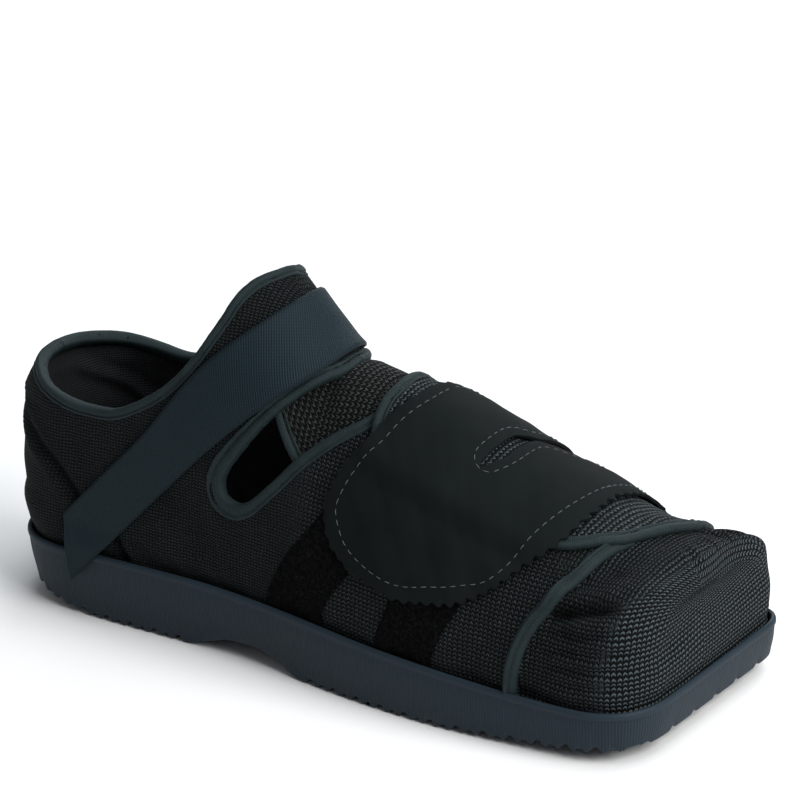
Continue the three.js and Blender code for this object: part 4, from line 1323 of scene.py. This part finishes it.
for base, d in ((smooth(np.concatenate([strap2_rear[::-1][1:], slot_xq, strap1_front[::-1][:-1]]), 1.0), 0),):
    inside_side = offset_line(base, 4.2)
    if inside(patch_loop, inside_side).mean() < 0.5:
        inside_side = offset_line(base, -4.2)
    inside_side = blur(inside_side, 2, False, 2)
    p, n = surf(from_xq(inside_side), patch_hi(inside_side), True)
    stitches(p, n)
for c in (np.concatenate([outer_xq[-1:] + [[-4.5, 0]], strap2_front[::-1] - [[4.5, 0]]]), np.concatenate([outer_xq[:1] + [[4.6, 0]], strap1_rear + [[4.6, 0]]])):
    c = smooth(c[:-1], 1.0)
    p, n = surf(from_xq(c), patch_hi(c), True)
    stitches(p, n)

# ------------------------------------------------------------------ ankle strap
def half_at(x, z, off, side):
    w = outline(x, INSET - off)[0 if side < 0 else 1]
    top = crest_z(x) + off * np.hypot(1, np.minimum(2.2, np.abs(crest_z(x + 3) - crest_z(x - 3)) / 6))
    base, p = floor_z(x) + 3, crest_p(x) if side < 0 else medial_p(x)
    t = np.clip((z - base) / (top - base), 0, 1)
    return w * np.maximum(0, 1 - t**p) ** (1 / p), top


def build_strap():
    ang = math.radians(46.1)
    d, n = np.array([math.cos(ang), math.sin(ang)]), np.array([-math.sin(ang), math.cos(ang)])
    start = np.array([42.0, 33.0])
    rows, M = np.linspace(-0.5, 0.5, 27), 190

    def line(v, off):
        def place(s):
            spread = 5 * np.clip((s - 70) / 60, 0, 1) ** 2
            bow = 4 * np.sin(np.pi * np.clip((s - 48) / 104, 0, 1)) ** 2
            return start + np.outer(s, d) + np.outer(v * 22 + (v - 0.5) * spread + (v + 0.5) * bow, n)
        lo, hi = 0.0, 190.0
        for _ in range(40):
            m = (lo + hi) / 2
            q = place(np.array([m]))[0]
            top = half_at(q[0], q[1], off, -1)[1]
            lo, hi = (m, hi) if q[1] < top else (lo, m)
        top_s = (lo + hi) / 2
        low_l = -5.3 + 16.7 * v
        q0 = place(np.array([0.0]))[0]
        low_m = (float(rim_z(q0[0])) + 1.2 - q0[1]) / d[1] + 3
        pts = np.zeros((M + 1, 3))
        t = np.arange(M + 1) / M
        left = t <= 0.5
        low = np.where(left, low_l, low_m)
        s = low + (top_s - low) * np.sin(np.pi * t)
        q = place(s)
        for side, m in ((-1, left), (1, ~left)):
            x, z = q[m, 0], q[m, 1]
            top = half_at(x, z, off, side)[1]
            y = half_at(x, np.minimum(z, top - 0.01), off, side)[0]
            if side < 0:
                rim = outline(x, 0)[0] + 0.6 + (off - 0.8)
                near = np.clip((rim_z(x) + 13 - z) / 12, 0, 1)
                near = near * near * (3 - 2 * near)
                y = np.maximum(y, y + (rim - y) * near)
            pts[m] = np.stack([x, side * y, z], 1)
        pts[M // 2, 1] = 0
        return pts, s

    inner, outer = [], []
    for v in rows:
        e = min(1.0, (0.5 - abs(v)) / 0.07)
        r = math.sqrt(max(0.0, 1 - (1 - e) ** 2))
        inner.append(line(v, 1.25 + 0.35 * (1 - r))[0])
        outer.append(line(v, 2.0 + 0.85 * r)[0])
    inner, outer = np.array(inner), np.array(outer)
    # even steps along each thread
    def resample(A):
        out = []
        for a in A:
            L = np.concatenate([[0], np.cumsum(np.linalg.norm(np.diff(a, axis=0), axis=1))])
            t = np.linspace(0, L[-1], 260)
            out.append(np.stack([np.interp(t, L, a[:, c]) for c in range(3)], 1))
        return np.array(out)
    inner, outer = resample(inner), resample(outer)
    R, Mm = outer.shape[:2]
    idx = np.arange(R * Mm).reshape(R, Mm)
    q = np.stack([idx[:-1, :-1], idx[1:, :-1], idx[1:, 1:], idx[:-1, 1:]], -1).reshape(-1, 4)
    e = np.concatenate([np.stack([idx[0, :-1], idx[0, 1:]], 1), np.stack([idx[:-1, -1], idx[1:, -1]], 1),
                        np.stack([idx[-1, ::-1][:-1], idx[-1, ::-1][1:]], 1), np.stack([idx[::-1, 0][:-1], idx[::-1, 0][1:]], 1)])
    walls = np.stack([e[:, 0], e[:, 1], e[:, 1] + R * Mm, e[:, 0] + R * Mm], 1)
    V = np.concatenate([outer.reshape(-1, 3), inner.reshape(-1, 3)])
    f = np.concatenate([q, q[:, ::-1] + R * Mm, walls])
    mid = outer[R // 2]
    L = np.concatenate([[0], np.cumsum(np.linalg.norm(np.diff(mid, axis=0), axis=1))])
    uv = np.stack(np.broadcast_arrays(L[None], (rows * 22)[:, None]), -1).reshape(-1, 2)
    a, b, c = outer[5, 60], outer[6, 60], outer[5, 61]
    if np.cross(b - a, c - a)[1] > 0:
        f = f[:, ::-1]
    o = make("ankle_strap_web", V, [f], uv={"UVMap": np.concatenate([uv, uv])}, mats=("web",), angle=55)
    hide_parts("ankle_strap")
    area = 0.0
    A = outer
    for s1, s2 in (((slice(None, -1), slice(None, -1)), (slice(1, None), slice(1, None))),):
        c1 = np.cross(A[1:, :-1] - A[:-1, :-1], A[:-1, 1:] - A[:-1, :-1])
        c2 = np.cross(A[1:, :-1] - A[1:, 1:], A[:-1, 1:] - A[1:, 1:])
        area = (np.linalg.norm(c1, axis=-1).sum() + np.linalg.norm(c2, axis=-1).sum()) / 2
    return o, L[-1], area


strap, strap_len, strap_area = build_strap()

# ------------------------------------------------------------------ the sole
def sole_outline():
    xh = 40 - 40 * np.cos(np.linspace(0, np.pi / 2, 60)[:-1])
    xm = np.arange(40, 272, 1.0)
    xt = 272 + 30 * np.sin(np.linspace(0, np.pi / 2, 70))
    xs = np.concatenate([xh, xm, xt])
    wl, wm = outline(xs, 0)
    left = np.stack([xs, -wl], 1)
    right = np.stack([xs, wm], 1)[::-1]
    frontline = np.stack([np.full(70, 302.0), np.linspace(-wl[-1], wm[-1], 72)[1:-1]], 1)
    ring = np.concatenate([left, frontline, right[:-1]])
    return even(ring, 0.85, True)


RING = sole_outline()
RT = unit(np.roll(RING, -1, 0) - np.roll(RING, 1, 0))
RN = np.stack([RT[:, 1], -RT[:, 0]], 1)
if np.dot(RN[0], RING[0] - np.array([150, 5])) < 0:
    RN = -RN
RN = unit(blur(RN, 2, True, 2))
RL = np.concatenate([[0], np.cumsum(np.linalg.norm(np.diff(RING, axis=0), axis=1))])


def tread(x, y):
    """Depth of the grooves under the sole."""
    x, y = np.asarray(x, float), np.asarray(y, float)
    d = np.full(np.broadcast(x, y).shape, 99.0)
    for c in list(np.arange(8, 96, 11.6)) + list(np.arange(156, 299, 11.6)):
        d = np.minimum(d, np.abs(x - c))
    for c, x0, x1 in [(v, 161, 310) for v in (-37, -21, -5, 11, 27, 43)] + [(v, -8, 92) for v in (-20, -4, 12)]:
        e = np.maximum(np.maximum(x0 - x, x - x1), 0)
        d = np.minimum(d, np.hypot(np.abs(y - c), e))
    return 2.0 * (1 - step(0.7, 2.6, d))


def scallop(x):
    """Shallow notches of the lower edge, halfway between the grooves."""
    d = np.full(np.shape(x), 99.0)
    for c in list(np.arange(13.8, 90, 11.6)) + list(np.arange(161.8, 299, 11.6)):
        d = np.minimum(d, np.abs(x - c))
    return 1.5 * (1 - step(0.3, 2.3, d))


def build_sole():
    rim, under, lean = rim_z(RING[:, 0]), under_z(RING[:, 0]), lean_at(RING[:, 0])
    n = len(RING)
    rows_, tags = [], []

    def put(inset, z, ribbed):
        q = RING - RN * np.asarray(inset, float).reshape(-1, 1) if np.ndim(inset) else RING - RN * inset
        rows_.append(np.column_stack([q, np.broadcast_to(z, (n,))]))
        tags.append(ribbed)

    fz = rim - 6.0
    put(2.25, fz, 0)
    put(2.2, fz + 1.0, 0)
    put(2.15, rim - 1.2, 0)
    put(2.0, rim - 0.35, 0)
    put(1.5, rim + 0.02, 0)
    put(0.85, rim, 0)
    put(0.3, rim - 0.4, 0)
    put(0.0, rim - 1.1, 0)
    put(-0.05, rim - 2.0, 0)
    put(0.1, rim - 2.6, 0)
    put(0.5, rim - 2.85, 0)
    put(0.62, rim - 3.1, 1)
    q = RING - RN * (lean + 0.8)[:, None]
    notch = np.maximum(tread(q[:, 0], q[:, 1]) * np.where(q[:, 0] > 294, 0.5, 1.0), scallop(q[:, 0]) * (q[:, 0] < 296))
    low = under + notch
    for t in np.linspace(0.08, 0.92, 9):
        put(0.5 + (lean - 0.45) * t - 0.35 * np.sin(np.pi * t), (rim - 3.1) * (1 - t) + (under + 1.6 + notch * 0.6) * t, 1)
    put(lean + 0.02, low + 1.1, 0.4)
    put(lean + 0.2, low + 0.45, 0)
    put(lean + 0.8, low, 0)
    R = np.array(rows_)
    m = len(R)
    # wall
    idx = np.arange(m * n).reshape(m, n)
    a = idx[:-1]
    q = np.stack([a, np.roll(a, -1, 1), np.roll(idx[1:], -1, 1), idx[1:]], -1).reshape(-1, 4)
    uvw = np.stack([np.broadcast_to(RL, (m, n)), R[..., 2]], -1).reshape(-1, 2)
    rib = np.repeat(np.array(tags, float), n)
    # underside
    loop2 = R[-1][:, :2]
    v2, f = triangulate(loop2, 1.45)
    z = under_z(v2[:, 0]) + tread(v2[:, 0], v2[:, 1])
    key = {(round(p[0], 4), round(p[1], 4)): k for k, p in enumerate(loop2)}
    base = m * n
    remap = np.zeros(len(v2), int)
    extra = []
    for k, p in enumerate(v2):
        hit = key.get((round(p[0], 4), round(p[1], 4)))
        if hit is None:
            remap[k] = base + len(extra)
            extra.append((p[0], p[1], z[k]))
        else:
            remap[k] = (m - 1) * n + hit
    f_under = remap[f][:, ::-1]
    # tray
    loop3 = R[0][:, :2]
    v3, g = triangulate(loop3, 5.0)
    key3 = {(round(p[0], 4), round(p[1], 4)): k for k, p in enumerate(loop3)}
    base3 = base + len(extra)
    remap3 = np.zeros(len(v3), int)
    extra3 = []
    for k, p in enumerate(v3):
        hit = key3.get((round(p[0], 4), round(p[1], 4)))
        if hit is None:
            remap3[k] = base3 + len(extra3)
            extra3.append((p[0], p[1], float(floor_z(p[0]))))
        else:
            remap3[k] = hit
    f_tray = remap3[g]
    V = np.concatenate([R.reshape(-1, 3), np.array(extra), np.array(extra3)])
    uv = np.concatenate([uvw, np.array(extra)[:, :2], np.array(extra3)[:, :2]])
    rib = np.concatenate([rib, np.zeros(len(extra) + len(extra3))])
    c = V[q[n * 9 + 30]]
    out = np.append(RN[30], 0)
    if np.dot(np.cross(c[1] - c[0], c[3] - c[0]), out) < 0:
        q = q[:, ::-1]
    o = make("sole_unit", V, [q, f_under, f_tray], uv={"UVMap": uv}, mats=("rubber",), angle=40, attr={"ribbed": rib})
    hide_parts("sole")
    return o


sole = build_sole()


def build_insole():
    xs = np.concatenate([40 - 33.8 * np.cos(np.linspace(0, np.pi / 2, 40)[:-1]), np.arange(40, 272, 2.0), 272 + 23.8 * np.sin(np.linspace(0, np.pi / 2, 30))])
    wl, wm = outline(xs, 6.2)
    ring = np.concatenate([np.stack([xs, -wl], 1), np.stack([np.full(20, xs[-1]), np.linspace(-wl[-1], wm[-1], 22)[1:-1]], 1), np.stack([xs, wm], 1)[::-1][:-1]])
    ring = even(ring, 2.0, True)
    v2, f = triangulate(ring, 2.6)
    d = poly_distance(ring, v2)
    z0 = floor_z(v2[:, 0]) + 0.35
    cup = 1.6 * (1 - step(0, 16, d)) * (1 - step(80, 120, v2[:, 0])) + 2.2 * (1 - step(0, 22, d)) * (v2[:, 1] > 0) * step(85, 115, v2[:, 0]) * (1 - step(150, 180, v2[:, 0]))
    edge = 0.9 * (1 - step(0, 1.6, d))
    press = 0.5 * np.exp(-((v2[:, 0] - 45) / 26) ** 2 - (v2[:, 1] / 20) ** 2) + 0.5 * np.exp(-((v2[:, 0] - 215) / 30) ** 2 - ((v2[:, 1] - 8) / 34) ** 2)
    top = np.column_stack([v2, z0 + 3.9 + cup - edge - press])
    bottom = np.column_stack([v2, z0])
    V, polys = two_sided(v2, f, top, bottom)
    o = make("insole_pad", V, polys, uv={"UVMap": np.concatenate([v2, v2])}, mats=("footbed",), angle=50)
    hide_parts("insole")
    return o


insole = build_insole()

# ------------------------------------------------------------------ thread
def join_stitches(name):
    vs, fs, uvs, k = [], [], [], 0
    for V, f, uv in STITCHES:
        vs.append(V)
        fs.append(f + k)
        uvs.append(uv)
        k += len(V)
    o = make(name, np.concatenate(vs), [np.concatenate(fs)], uv={"UVMap": np.concatenate(uvs)}, mats=("thread",), angle=60)
    STITCHES.clear()
    return o


patch_thread = join_stitches("patch_stitches")


strap_w = strap_area / strap_len / 1000
strap_len / 1000

# ------------------------------------------------------------------ floor, lights, camera
bpy.ops.mesh.primitive_plane_add(size=8, location=(0, 0, -0.0002))
ground = bpy.context.object
ground.name = "ground"
ground.data.materials.append(MATS["ground"])


def area_light(name, place, target, size, power, color=(1, 1, 1)):
    data = bpy.data.lights.new(name, "AREA")
    data.shape = "RECTANGLE"
    data.size, data.size_y = size
    data.energy, data.color = power, color
    o = bpy.data.objects.new(name, data)
    o.location = place
    o.rotation_mode = "QUATERNION"
    o.rotation_quaternion = (Vector(target) - Vector(place)).to_track_quat("-Z", "Y")
    bpy.context.scene.collection.objects.link(o)
    return o


area_light("key", (1.7, -0.25, 1.35), (0.08, 0, 0.05), (1.5, 1.2), 50, (1.0, 0.985, 0.965))
area_light("top", (0.35, 0.35, 2.3), (0, 0, 0.05), (1.8, 1.8), 34, (0.95, 0.98, 1.0))
area_light("rim", (-0.5, 1.7, 0.9), (0, 0, 0.08), (1.0, 0.6), 12, (0.9, 0.96, 1.0))

world = bpy.data.worlds.new("world")
bpy.context.scene.world = world
world.use_nodes = True
bg = world.node_tree.nodes["Background"]
bg.inputs[0].default_value = (0.93, 0.96, 1.0, 1)
bg.inputs[1].default_value = 0.22

cam_data = bpy.data.cameras.new("camera")
cam = bpy.data.objects.new("camera", cam_data)
bpy.context.scene.collection.objects.link(cam)
bpy.context.scene.camera = cam
az, el, roll = math.radians(33), math.radians(22), math.radians(-1)
back = np.array([math.sin(az) * math.cos(el), -math.cos(az) * math.cos(el), math.sin(el)])
right = np.array([math.cos(az), math.sin(az), 0])
up = np.cross(back, right)
r2 = right * math.cos(roll) + up * math.sin(roll)
u2 = -right * math.sin(roll) + up * math.cos(roll)
place = row(np.array([150, 0, 50]) + right * 15.244 + up * 45.544 + back * 2000)
m = Matrix([[r2[k], u2[k], back[k], place[k]] for k in range(3)] + [[0, 0, 0, 1]])
cam.matrix_world = m
cam_data.sensor_width = 36
cam_data.lens = 5197.08 / 800 * 36
cam_data.clip_start, cam_data.clip_end = 0.1, 30

scene = bpy.context.scene
scene.view_settings.view_transform = "Standard"
scene.view_settings.exposure = 0.0
